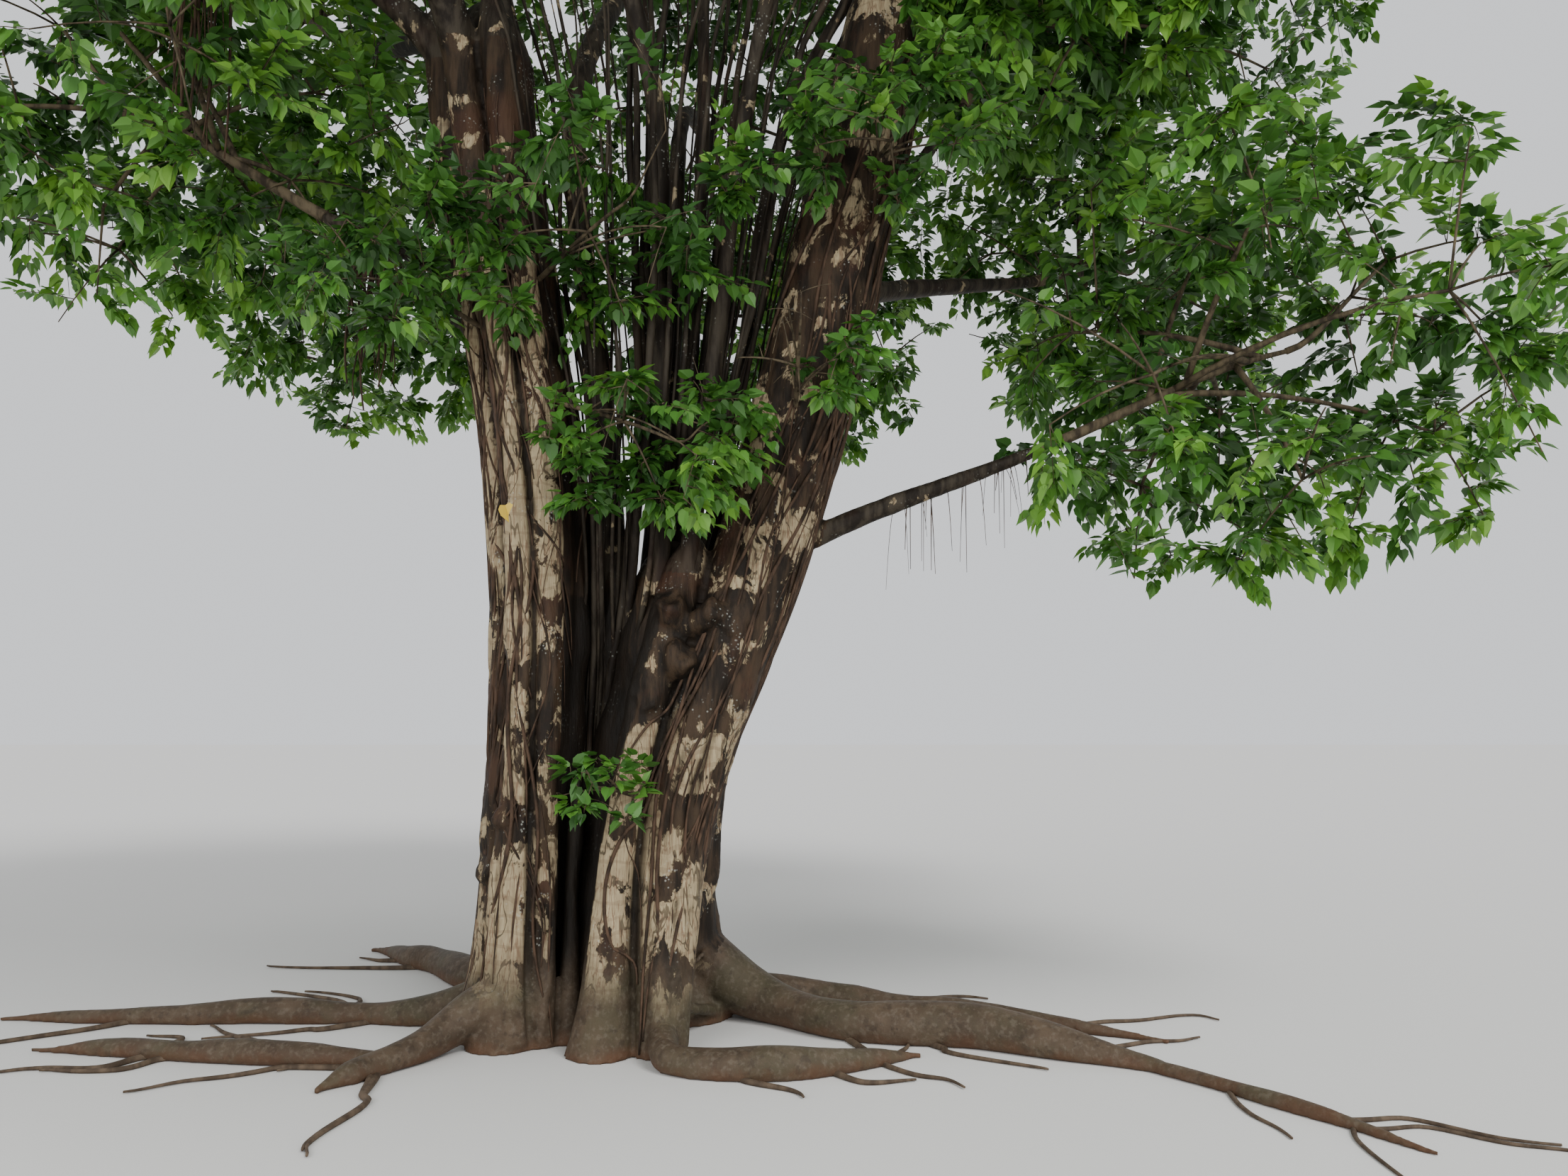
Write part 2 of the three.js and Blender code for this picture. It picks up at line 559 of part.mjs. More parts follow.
for (const [name, pole] of Object.entries(POLES)) {
  const mass = massNamed[`foliage_${pole.feeds}`];
  const curve = poleCurve(pole, mass);
  const radiusAt = taper(pole.radius, pole.radius * POLE_TIP_SHARE);
  const solid = tubeSolid(curve, radiusAt, BOUGH_SIDES, POLE_RINGS);
  addNode(name, solid.intersect(slab(FORK_Z + SEAT_GAP, CROWN_TOP_Z)), BARK);
  limbSolids.push(tubeSolid(curve, (s) => radiusAt(s) + LIMB_CLEARANCE, BOUGH_SIDES, POLE_RINGS));
  seatMass(mass, curve, radiusAt(1));
}

const boughCurves = {};
for (const [name, bough] of Object.entries(BOUGHS)) {
  const mass = massNamed[`foliage_${bough.feeds}`];
  const curve = limbCurve(point(bough.from), point(bough.leave), mass);
  const radiusAt = taper(bough.radius, bough.radius * BOUGH_TIP_SHARE);
  boughCurves[name] = curve;
  addNode(name, tubeSolid(curve, radiusAt, BOUGH_SIDES, BOUGH_RINGS).subtract(grownTrunk), BARK);
  limbSolids.push(tubeSolid(curve, (s) => radiusAt(s) + LIMB_CLEARANCE, BOUGH_SIDES, BOUGH_RINGS));
  seatMass(mass, curve, radiusAt(1));
}

const rootsSoFar = [grownTrunk];
for (const [name, stations] of Object.entries(ROOTS)) {
  addNode(name, rootSolid(stations).subtract(join(rootsSoFar)), ROOT_BARK);
  rootsSoFar.push(rootSolid(stations, CUT_GAP));
}

for (const [name, bunch] of Object.entries(HANGING)) {
  const { radius } = BOUGHS[bunch.on];
  const curve = boughCurves[bunch.on];
  const grownAt = taper(radius + CUT_GAP, radius * BOUGH_TIP_SHARE + CUT_GAP);
  const grownBough = tubeSolid(curve, grownAt, BOUGH_SIDES, BOUGH_RINGS);
  const solid = hangingSolid(bunch, curve).subtract(grownBough);
  addNode(name, solid, ROOT_BARK);
  limbSolids.push(solid);
}

for (const mass of masses) {
  if (mass.grows) {
    mass.start = point(mass.grows);
    mass.heading = mass.centre.clone().sub(mass.start).normalize();
    mass.startRadius = SHOOT_STEM_RADIUS;
  }
  mass.stem = massStem(mass);
}
for (const mass of masses) {
  const otherStems = masses.filter((other) => other !== mass).map((other) => other.stem.solid);
  const foliage = growMass(mass, masses, join([...limbSolids, ...otherStems]));
  addNode(mass.name, mass.grows ? foliage.subtract(grownTrunk) : foliage, LEAF);
}

export default tree;
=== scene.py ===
"""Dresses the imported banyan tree: fused bark, poles, aerial roots, boughs, twigs and leaves."""

import functools
import math

import bpy
import numpy as np
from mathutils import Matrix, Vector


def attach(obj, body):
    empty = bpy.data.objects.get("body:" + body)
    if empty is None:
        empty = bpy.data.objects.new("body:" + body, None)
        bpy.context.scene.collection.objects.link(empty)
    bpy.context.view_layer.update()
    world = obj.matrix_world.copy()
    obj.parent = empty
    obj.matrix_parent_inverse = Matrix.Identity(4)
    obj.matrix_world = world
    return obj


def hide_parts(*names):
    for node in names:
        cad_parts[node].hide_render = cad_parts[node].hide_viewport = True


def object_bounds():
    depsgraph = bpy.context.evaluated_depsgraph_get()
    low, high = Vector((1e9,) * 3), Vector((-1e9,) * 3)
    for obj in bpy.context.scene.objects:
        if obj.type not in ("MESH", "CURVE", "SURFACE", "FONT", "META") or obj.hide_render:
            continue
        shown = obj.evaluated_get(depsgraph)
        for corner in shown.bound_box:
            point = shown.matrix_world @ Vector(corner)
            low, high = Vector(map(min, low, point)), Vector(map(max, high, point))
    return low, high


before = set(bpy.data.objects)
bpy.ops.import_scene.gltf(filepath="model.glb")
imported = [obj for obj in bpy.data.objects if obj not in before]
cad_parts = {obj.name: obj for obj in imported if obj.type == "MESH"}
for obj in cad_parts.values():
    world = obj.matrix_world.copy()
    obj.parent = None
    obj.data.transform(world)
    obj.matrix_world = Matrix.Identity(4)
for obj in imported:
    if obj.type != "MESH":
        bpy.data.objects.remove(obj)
CAD_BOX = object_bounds()

bl_info = {
    "name": "Banyan tree",
    "version": (1, 0, 0),
    "blender": (4, 5, 0),
    "location": "3D View > Sidebar > Banyan",
    "description": "Builds a banyan tree's bark, roots, twigs and leaves round its packed solids",
    "category": "Object",
}

# Heights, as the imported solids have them
WAIST_Z = 1.1
FORK_Z = 2.1
LEFT_STEM_TOP_Z = 4.9
RIGHT_STEM_TOP_Z = 5.2
CROWN_TOP_Z = 11.8
TOE_HEIGHT = 0.26

STEM_TOP_Z = {"left": LEFT_STEM_TOP_Z, "right": RIGHT_STEM_TOP_Z}

# Columns that run on into a stem: foot, waist, fork and top stations as (x, y, radius), the swelling at the
# ground and how much cream bark shows
STEM_COLUMNS = {
    "left": (
        ((-0.3, 0, 0.2), (-0.3, 0, 0.19), (-0.29, 0, 0.19), (-0.64, 0.06, 0.21), 0.02, 0.1),
        ((-0.455, 0, 0.12), (-0.415, -0.02, 0.13), (-0.44, 0.02, 0.122), (-0.88, 0.06, 0.118), 0.12, 0.7),
        ((-0.39, -0.29, 0.085), (-0.335, -0.24, 0.09), (-0.35, -0.225, 0.074), (-0.77, -0.15, 0.086),
         0.085, 0.82),
        ((-0.215, -0.28, 0.052), (-0.21, -0.29, 0.062), (-0.222, -0.245, 0.068), (-0.57, -0.16, 0.086),
         0.03, 0.62),
        ((-0.17, 0.03, 0.15), (-0.215, 0, 0.13), (-0.18, 0.02, 0.112), (-0.56, 0.11, 0.11), 0.04, 0.05),
        ((-0.33, 0.31, 0.14), (-0.33, 0.26, 0.14), (-0.33, 0.24, 0.13), (-0.74, 0.3, 0.12), 0.11, 0.45),
    ),
    "right": (
        ((0.345, -0.42, 0.075), (0.385, -0.16, 0.195), (0.72, -0.06, 0.238), (1.48, 0.02, 0.235),
         0.045, 0.72),
        ((0.325, -0.06, 0.07), (0.5, -0.04, 0.08), (0.865, 0.01, 0.1), (1.61, 0.12, 0.12), 0.03, 0.35),
        ((0.4, 0.27, 0.12), (0.44, 0.19, 0.15), (0.735, 0.17, 0.165), (1.42, 0.23, 0.15), 0.13, 0.45),
    ),
}
# Columns that end at the fork or below it: the same without a top station, and the height of the end
BASE_COLUMNS = (
    ((0.085, -0.43, 0.085), (0.165, -0.285, 0.095), (0.395, -0.15, 0.12), 0.075, 0.85, FORK_Z),
    ((0.03, 0.04, 0.26), (0.11, 0.08, 0.2), (0.29, 0.06, 0.165), 0.02, 0, FORK_Z),
    ((-0.095, -0.24, 0.045), (-0.09, -0.17, 0.03), (-0.09, -0.1, 0.03), 0.025, 0.55, 0.98),
    ((0.04, 0.15, 0.11), (0.06, 0.13, 0.095), (0.06, 0.11, 0.09), 0.04, 0.2, FORK_Z),
    ((0.06, 0.42, 0.13), (0.14, 0.31, 0.13), (0.42, 0.23, 0.13), 0.1, 0.45, FORK_Z),
    ((-0.14, 0.44, 0.11), (-0.23, 0.33, 0.12), (-0.27, 0.26, 0.1), 0.09, 0.45, FORK_Z),
)
COLUMNS = [
    dict(side=side, stations=row[:4], toe=row[4], pale=row[5], end=STEM_TOP_Z[side])
    for side, rows in STEM_COLUMNS.items()
    for row in rows
] + [dict(side="base", stations=row[:3], toe=row[3], pale=row[4], end=row[5]) for row in BASE_COLUMNS]
CORES = {"left": COLUMNS[0], "right": COLUMNS[6]}
GAP_SIDES = (COLUMNS[4], COLUMNS[6])

# A column's mesh: its sides, its rings, the rounded cap on its end, and the height that tells its lean
COLUMN_SIDES = 28
COLUMN_RING_STEP = 0.05
COLUMN_RING_POWER = 1.15
CAP_PLACES = 9
STEM_CAP = 0.42
BASE_CAP = 0.30
LEAN_RUN = 0.2

# Every other kind of tube: how many places it has along its path, and how many sides
TUBES = dict(
    knob=(9, 14),
    root=(60, 18),
    rootlet=(24, 8),
    bough=(50, 16),
    strand=(90, 10),
    gap_strand=(60, 14),
    pole=(150, 22),
    slim_pole=(80, 9),
    clinging=(56, 6),
    hanging=(26, 6),
    fringe=(12, 5),
    stem=(14, 10),
    twig=(8, 6),
    side_twig=(5, 4),
    spray=(4, 3),
)

# How thin roots creep down the wood: the pace at which they sway with height, and how often they are eased
SWAY_PACE = 5.2
EASINGS = 3

# The bark's seams between columns, its gnarls, and the easings that show where it is hollow
SEAM_DEPTH = 0.018
SEAM_WIDTH = 0.022
GNARL_HEIGHT = 0.014
CAVITY_EASINGS = 45

# Poles in the fork: foot and mid are (x, y), and mid lies at POLE_MID_Z
POLE_MID_Z = 4.6
POLE_TIP_SHARE = 0.62
SLIM_POLES = 46
SLIM_POLE_RADII = (0.007, 0.011, 0.017, 0.026)
SLIM_POLE_TIP_SHARE = 0.55
POLES = {
    "pole_1": dict(foot=(0.062, 0.112), mid=(-0.230, 0.190), radius=0.074, feeds="foliage_upper_3"),
    "pole_2": dict(foot=(0.300, -0.120), mid=(0.250, -0.140), radius=0.056, feeds="foliage_upper_5"),
    "pole_3": dict(foot=(0.385, 0.060), mid=(0.480, 0.040), radius=0.040, feeds="foliage_top"),
    "pole_4": dict(foot=(0.425, -0.195), mid=(0.720, -0.220), radius=0.046, feeds="foliage_upper_1"),
    "pole_5": dict(foot=(0.290, 0.210), mid=(0.330, 0.280), radius=0.052, feeds="foliage_middle_5"),
    "pole_6": dict(foot=(0.485, 0.230), mid=(0.880, 0.260), radius=0.042, feeds="foliage_upper_2"),
}

# Knobs at the front of the fork: from, to and radius
BURLS = (
    ((0.36, -0.16, 1.68), (0.44, -0.33, 1.80), 0.085),
    ((0.40, -0.18, 1.90), (0.36, -0.31, 2.06), 0.075),
    ((0.42, -0.22, 1.90), (0.60, -0.34, 2.02), 0.062),
    ((0.28, -0.20, 1.52), (0.26, -0.33, 1.58), 0.060),
    ((0.62, -0.16, 1.90), (0.66, -0.31, 1.96), 0.070),
    ((-0.44, -0.06, 0.72), (-0.54, -0.14, 0.78), 0.070),
    ((-0.38, -0.22, 1.02), (-0.42, -0.33, 1.04), 0.050),
)

# Aerial roots that stand between the columns behind the fork: places and radius
GAP_STRANDS = (
    (((-0.05, 0.28, 0), (-0.05, 0.28, 1.15), (-0.105, 0.26, 1.45), (-0.05, 0.24, 1.75), (-0.08, 0.22, 2.6)),
     0.052),
    (((0, 0.2, 0.3), (-0.03, 0.2, 1.2), (0.01, 0.18, 1.5), (-0.02, 0.16, 1.9), (0.02, 0.16, 2.9)), 0.034),
    (((-0.08, -0.02, 0.3), (-0.075, 0, 1), (-0.07, 0.04, 1.25)), 0.03),
)

# Boughs: the share of its radius that a tip has, how far its start lies in its stem, and for each one where
# it leaves its stem, the way it sets out, its radius and the mass that it feeds
BOUGH_TIP_SHARE = 0.5
BOUGH_ROOTED = 0.12
BOUGHS = {
    "bough_left_front": ((-0.76, -0.15, LEFT_STEM_TOP_Z), (-0.2, -0.35, 1), 0.098, "foliage_middle_1"),
    "bough_left_out": ((-0.86, 0.04, LEFT_STEM_TOP_Z), (-0.55, 0, 1), 0.088, "foliage_middle_7"),
    "bough_left_back": ((-0.74, 0.27, LEFT_STEM_TOP_Z), (-0.4, 0.3, 1), 0.092, "foliage_middle_6"),
    "bough_left_inner": ((-0.56, 0.10, LEFT_STEM_TOP_Z), (-0.1, 0.1, 1), 0.084, "foliage_upper_4"),
    "bough_right_front": ((1.44, -0.11, RIGHT_STEM_TOP_Z), (0.1, -0.4, 1), 0.100, "foliage_middle_2"),
    "bough_right_out": ((1.60, 0.08, RIGHT_STEM_TOP_Z), (0.5, 0, 1), 0.092, "foliage_middle_3"),
    "bough_right_back": ((1.39, 0.20, RIGHT_STEM_TOP_Z), (0.2, 0.45, 1), 0.090, "foliage_middle_4"),
    "bough_low_right": ((0.90, 0, 2.33), (1, 0, 0.5), 0.062, "foliage_low_right"),
    "bough_low_left": ((-0.60, 0, 3.60), (-0.8, 0.1, 1), 0.068, "foliage_low_left"),
    "bough_inner_right": ((1.25, 0.02, 3.90), (0.7, 0, 0.9), 0.055, "foliage_inner_right"),
    "bough_low_back_left": ((-0.48, 0.26, 3.30), (-0.4, 1, 0.7), 0.070, "foliage_low_back_left"),
    "bough_low_back": ((1.00, 0.15, 3.10), (-0.1, 1, 0.7), 0.074, "foliage_low_back"),
    "bough_low_back_side": ((1.15, 0.15, 3.70), (0.6, 1, 0.5), 0.070, "foliage_low_back_right"),
}

# Roots on the ground, each through (x, y, height of its centreline, radius)
ROOTS = {
    "root_left_front": (
        (-0.42, -0.3, 0.21, 0.105), (-0.61, -0.42, 0.095, 0.092), (-0.77, -0.67, 0.04, 0.072),
        (-0.96, -0.99, 0.008, 0.034),
    ),
    "root_left_branch": (
        (-0.77, -0.65, 0.02, 0.05), (-1.2, -0.56, 0.034, 0.058), (-1.75, -0.5, 0.026, 0.052),
        (-2.5, -0.38, 0.005, 0.024),
    ),
    "root_left_side": (
        (-0.45, 0.06, 0.19, 0.105), (-0.75, 0.11, 0.07, 0.08), (-1.7, 0.13, 0.038, 0.066),
        (-3, 0.16, 0.004, 0.03),
    ),
    "root_back_left": (
        (-0.33, 0.33, 0.19, 0.1), (-0.65, 0.72, 0.07, 0.088), (-1.15, 1.3, 0.045, 0.08),
        (-1.75, 1.9, 0.008, 0.038),
    ),
    "root_back": (
        (0.06, 0.42, 0.19, 0.1), (0.15, 0.85, 0.07, 0.084), (-0.06, 1.45, 0.04, 0.07),
        (0.12, 2.25, 0.006, 0.032),
    ),
    "root_right_main": (
        (0.4, 0.27, 0.33, 0.15), (0.72, 0.2, 0.13, 0.118), (1.15, -0.13, 0.07, 0.104),
        (1.88, -0.3, 0.062, 0.098), (2.52, -0.7, 0.006, 0.04),
    ),
    "root_right_end": ((2.44, -0.64, 0.014, 0.034), (2.75, -1.04, 0.012, 0.036), (3.21, -1.7, 0.003, 0.02)),
    "root_right_back": (
        (0.43, 0.33, 0.16, 0.085), (1.05, 0.48, 0.055, 0.07), (1.75, 0.21, 0.04, 0.062),
        (2.7, -0.26, 0.005, 0.028),
    ),
    "root_front_right": (
        (0.345, -0.43, 0.11, 0.066), (0.43, -0.68, 0.048, 0.07), (0.9, -0.76, 0.042, 0.07),
        (1.52, -0.48, 0.005, 0.03),
    ),
}
# The root that runs on into another, and the thin side roots that leave each
UNTAPERED_ROOT = "root_right_main"
ROOTLETS_PER_ROOT = 4
ROOTLET_RADIUS = 0.019
ROOTLET_TIP_RADIUS = 0.005

# Bunches of hanging roots: the bough, the share of the way along it, the drop, the spread
HANGING = {
    "hanging_roots_far_left": ("bough_left_out", 0.8, 1.50, 0.17),
    "hanging_roots_left": ("bough_low_left", 0.72, 0.90, 0.13),
}
STRANDS_PER_BUNCH = 18

# The bough that carries a fringe of fine hanging roots
FRINGED_BOUGH = "bough_low_right"
FRINGE_STRANDS = 26

# The widest gap that a thin aerial root may leap as it creeps down the bark
LONGEST_LEAP = 0.07

# The yellow leaf on the left stem: its angle round the stem, its height and its length
YELLOW_LEAF = (-1.95, 2.52, 0.095)

# The crown: tiers of flattened balls round its axis, and the single masses
CROWN_AXIS = (0.30, 0.15)
FLATTEN = 0.8
TOP_MASS_SIZE = 2.25
RINGS = {
    "upper": dict(count=5, radius=2.75, z=8.75, size=2.05, turn=-54),
    "middle": dict(count=7, radius=4.05, z=6.85, size=2.05, turn=-116),
}
LOW_MASSES = {
    "foliage_low_left": ((-2.55, 0.25, 4.75), 1.55),
    "foliage_low_right": ((3.40, 0.10, 3.35), 1.65),
    "foliage_inner_right": ((2.35, -0.05, 5.35), 1.15),
    "foliage_low_back_left": ((-2.15, 2.85, 4.85), 1.65),
    "foliage_low_back": ((0.85, 3.55, 4.75), 1.65),
    "foliage_low_back_right": ((3.45, 2.75, 4.85), 1.65),
}
SHOOTS = {
    "shoots_front_upper": ((0.12, -0.74, 3.78), 0.92, (-0.47, 0, 3.65)),
    "shoots_front_middle": ((0.32, -0.66, 2.78), 0.66, (-0.40, 0, 3.15)),
    "shoots_front_right": ((0.98, -0.62, 3.20), 0.50, (0.96, -0.05, 2.90)),
    "shoots_left": ((-1.05, -0.40, 3.65), 0.56, (-0.56, 0, 3.45)),
    "shoots_right_upper": ((1.46, -0.62, 4.25), 0.66, (1.30, -0.03, 4.25)),
    "shoots_low": ((0.12, -0.58, 1.18), 0.34, (0.33, -0.14, 1.08)),
}
# Tufts with more or fewer sprays than the rest
SHOOT_DENSITY = {
    "shoots_low": 0.38,
    "shoots_front_upper": 1.6,
    "shoots_front_middle": 1.25,
    "shoots_left": 0.75,
}

# Boughs that stay in view, and how far leaves in front of them keep away in the view along Y
SHOWN_BOUGHS = {"foliage_low_right": "bough_low_right", "foliage_low_left": "bough_low_left"}
SHOWN_GAP = 0.17

# How a mass of the crown and a tuft on the trunk grow: twigs, side twigs, the gap between leaves and wood,
# the longest spray, the radius of a twig, and the size of a leaf beside one of the crown
HABITS = dict(
    crown=dict(
        twigs=10, side_twigs=72, wood_gap=0.07, longest_spray=0.8, twig_radius=0.019, leaf_share=1
    ),
    shoot=dict(
        twigs=6, side_twigs=16, wood_gap=0.05, longest_spray=0.34, twig_radius=0.007, leaf_share=0.81
    ),
)
GOLDEN_ANGLE = math.pi * (3 - math.sqrt(5))

# How limbs grow, as the source has it. The first three are shares of a mass's size, the pulls are shares of
# the straight way, and the seeds go up from the first by the step.
ENTRY_SHARE = 0.82
STEM_LIFT = 0.05
LEADER_REACH = 0.55
STEM_PAST_CENTRE = 0.12
BOUGH_PULL = 0.38
POLE_PULL = 0.25
STEM_PULL = 0.35
SHOOT_STEM_RADIUS = 0.016
STEM_TAPER = 0.42
SPRAY_RADII = (0.0034, 0.0016)
FIRST_SEED = 101
SEED_STEP = 7

# How far out in a mass the twigs, side twigs and sprays reach, as shares of its size
TWIG_REACH = 0.6
SIDE_TWIG_REACH = (0.52, 0.74, 0.9)
SPRAY_REACH = (0.45, 0.62, 0.76, 0.88, 0.97)

# The photograph's camera: its frame is 2212 by 1659 pixels, and focal length is in pixels
PHOTO_WIDTH = 2212
FOCAL_PIXELS = 1661
CAMERA_PLACE = (0.91, -5.9, 1.5)
CAMERA_PITCH = 6.27
SENSOR_MM = 36
CAMERA_FAR = 300

BODY = "root"


def length_setting(name, default, description):
    """A length that a user may change."""
    return bpy.props.FloatProperty(name=name, description=description, default=default, unit="LENGTH")


def count_setting(name, default, description):
    """A number of things that a user may change."""
    return bpy.props.IntProperty(name=name, description=description, default=default)


def colour_setting(name, rgb, description):
    """A colour that a user may change."""
    return bpy.props.FloatVectorProperty(
        name=name, description=description, subtype="COLOR", size=4, default=(*rgb, 1)
    )


class TreeSizes(bpy.types.PropertyGroup):
    """Sizes that a user may change."""

    skin_step: length_setting("Bark step", 0.0143, "Size of the fused bark's faces")
    ridge_height: length_setting("Ridge height", 0.006, "How far the long bark ridges stand up")
    lump_height: length_setting("Lump height", 0.013, "How far the broad lumps of the trunk stand up")
    clinging_count: count_setting("Clinging roots", 190, "Thin aerial roots that creep down the trunk")
    strand_count: count_setting("Fused strands", 56, "Thicker aerial roots that have grown into the bark")
    leaf_length: length_setting("Leaf length", 0.096, "Length of a leaf with its drip tip")
    leaves_per_spray: count_setting("Leaves per spray", 20, "Leaves on one spray of the crown")
    leaves_per_shoot_spray: count_setting("Leaves per shoot spray", 15, "Leaves on one spray of a tuft")
    sprays_per_mass: count_setting("Sprays per mass", 470, "Sprays that one mass of the crown tries to bear")
    sprays_per_shoot: count_setting("Sprays per shoot", 340, "Sprays that a tuft of one metre tries to bear")


class TreeColours(bpy.types.PropertyGroup):
    """Colours that a user may change."""

    # The dark bark lies in random streaks over the wood; the flutes are darkened further by painted shade in
    # the bark material
    bark_dark: colour_setting("Dark bark", (0.014, 0.010, 0.007), "Damp bark in the flutes")
    bark_brown: colour_setting("Brown bark", (0.050, 0.032, 0.019), "Weathered bark")
    bark_cream: colour_setting("Cream bark", (0.40, 0.325, 0.20), "Bark where the dark skin has flaked")
    bark_limb: colour_setting("Limb bark", (0.050, 0.040, 0.028), "Weathered bark of boughs and poles")
    bark_foot: colour_setting("Foot bark", (0.092, 0.065, 0.043), "Smooth bark near the ground")
    # Leaf greens that paint shade deep in the crown and light at its outside
    leaf_shaded: colour_setting("Shaded leaf", (0.028, 0.088, 0.015), "Leaves in the shade")
    leaf_mid: colour_setting("Mid leaf", (0.076, 0.205, 0.026), "Most leaves")
    leaf_lit: colour_setting("Lit leaf", (0.175, 0.37, 0.045), "Leaves in the light")


def sizes():
    """The scene's tree sizes."""
    return bpy.context.scene.banyan_sizes


def colours():
    """The scene's tree colours."""
    return bpy.context.scene.banyan_colours


def unit(vectors):
    """Vectors of length one."""
    return vectors / np.maximum(np.linalg.norm(vectors, axis=-1, keepdims=True), 1e-9)


def step_up(values, low, high):
    """0 below low, 1 above high, and the smooth curve 3t^2 - 2t^3 between."""
    t = np.clip((values - low) / (high - low), 0, 1)
    return t * t * (3 - 2 * t)


def flowing(knots, values, at):
    """Smooth curve through values at knots: a cubic between each two, with the slope of the chords round
    it."""
    knots = np.asarray(knots, float)
    values = np.asarray(values, float)
    slope = np.gradient(values, knots, axis=0)
    at = np.asarray(at, float)
    run = np.clip(np.searchsorted(knots, at, side="right") - 1, 0, len(knots) - 2)
    width = (knots[run + 1] - knots[run])[..., None]
    t = (at - knots[run])[..., None] / width
    low, high = values[run], values[run + 1]
    return (
        (2 * t**3 - 3 * t**2 + 1) * low
        + (t**3 - 2 * t**2 + t) * width * slope[run]
        + (3 * t**2 - 2 * t**3) * high
        + (t**3 - t**2) * width * slope[run + 1]
    )


def through(points, count):
    """Count places along a smooth curve through points, spaced by the length of its chords."""
    points = np.asarray(points, float)
    lengths = np.concatenate([[0], np.cumsum(np.linalg.norm(np.diff(points[:, :3], axis=0), axis=1))])
    return flowing(lengths, points, np.linspace(0, lengths[-1], count))


def bent(start, first, last, end, count):
    """Count places along cubic curves from start to end that set out for first and arrive from last."""
    t = np.linspace(0, 1, count)[:, None]
    start, first, last, end = (np.asarray(p, float)[..., None, :] for p in (start, first, last, end))
    return (1 - t) ** 3 * start + 3 * (1 - t) ** 2 * t * first + 3 * (1 - t) * t**2 * last + t**3 * end


def lattice_noise(places, seed):
    """Smooth noise from -1 to 1: a hashed value at each corner of a unit lattice, blended across the cell by
    the curve 6t^5 - 15t^4 + 10t^3."""
    cell = np.floor(places).astype(np.int64)
    t = places - cell
    blend = t**3 * (t * (t * 6 - 15) + 10)
    total = np.zeros(places.shape[:-1])
    for corner in range(8):
        offset = np.array([(corner >> axis) & 1 for axis in range(3)])
        c = cell + offset
        mixed = (c[..., 0] * 73856093) ^ (c[..., 1] * 19349663) ^ (c[..., 2] * 83492791) ^ (seed * 40503)
        mixed = ((mixed ^ (mixed >> 13)) * 1274126177) & 0xFFFFFFFF
        value = ((mixed ^ (mixed >> 16)) & 0xFFFF) / 32767.5 - 1
        total += value * np.where(offset == 1, blend, 1 - blend).prod(axis=-1)
    return total


def noise_vectors(places, seeds):
    """A vector at each place, with smooth noise of one seed on each axis."""
    return np.stack([lattice_noise(places, seed) for seed in seeds], axis=-1)


def source_turn(seed):
    """How far the source turns a mass: its first random number, as a share of a whole turn."""
    return (seed * 1664525 + 1013904223) % 4294967296 / 4294967296 * 2 * math.pi


# Trunk columns


def column_at(column, z):
    """Centre and radius of a column at each height: smooth curves through its stations, with a toe that
    swells as exp(-z / TOE_HEIGHT)."""
    stations = column["stations"]
    heights = [0, WAIST_Z, FORK_Z, column["end"]][: len(stations)]
    found = flowing(heights, stations, np.clip(z, 0, heights[-1]))
    swell = column["toe"] * np.exp(-np.maximum(z, 0) / TOE_HEIGHT)
    return found[..., :2], found[..., 2] + swell


def column_depths(places):
    """How deep each place lies in each column, in metres, negative outside."""
    depths = []
    for column in COLUMNS:
        centre, radius = column_at(column, places[..., 2])
        depth = radius - np.linalg.norm(places[..., :2] - centre, axis=-1)
        over = places[..., 2] - column["end"]
        depths.append(np.where(over > 0, np.minimum(depth, -over), depth))
    return np.stack(depths, axis=-1)


def wood_reach(side, z, angle):
    """How far the fused columns reach from one side's core, looking out at an angle: the far crossing of the
    line of sight with each column's circle, and the greatest of them."""
    core, reach = column_at(CORES[side], z)
    way = np.stack([np.cos(angle), np.sin(angle)], axis=-1)
    for column in COLUMNS:
        centre, radius = column_at(column, z)
        off = centre - core
        along = (off * way).sum(axis=-1)
        under = radius**2 - (off**2).sum(axis=-1) + along**2
        counts = (under > 0) & (z <= column["end"]) & ((z < FORK_Z) | (column["side"] == side))
        reach = np.where(counts, np.maximum(reach, along + np.sqrt(np.maximum(under, 0))), reach)
    return reach


def creeping_paths(side, high, low, angle, drift, sway, phase, sink, rings, spans=True):
    """Paths that creep down the wood. Each runs at an angle that drifts and sways with height, at the wood's
    own reach less sink. One that spans is eased outward by a moving average, and so bridges the narrow
    flutes."""
    t = np.linspace(0, 1, rings)
    z = high[:, None] + (low - high)[:, None] * t
    turn = angle[:, None] + drift[:, None] * t + sway[:, None] * np.sin(SWAY_PACE * z + phase[:, None])
    core, _ = column_at(CORES[side], z)
    reach = wood_reach(side, z, turn)
    for _ in range(EASINGS):
        padded = np.pad(reach, ((0, 0), (1, 1)), mode="edge")
        eased = (padded[:, :-2] + 2 * reach + padded[:, 2:]) / 4
        reach = np.maximum(reach, eased) if spans else eased
    out = (reach - sink[:, None])[..., None]
    flat = core + out * np.stack([np.cos(turn), np.sin(turn)], axis=-1)
    return np.concatenate([flat, z[..., None]], axis=-1)


# Meshes


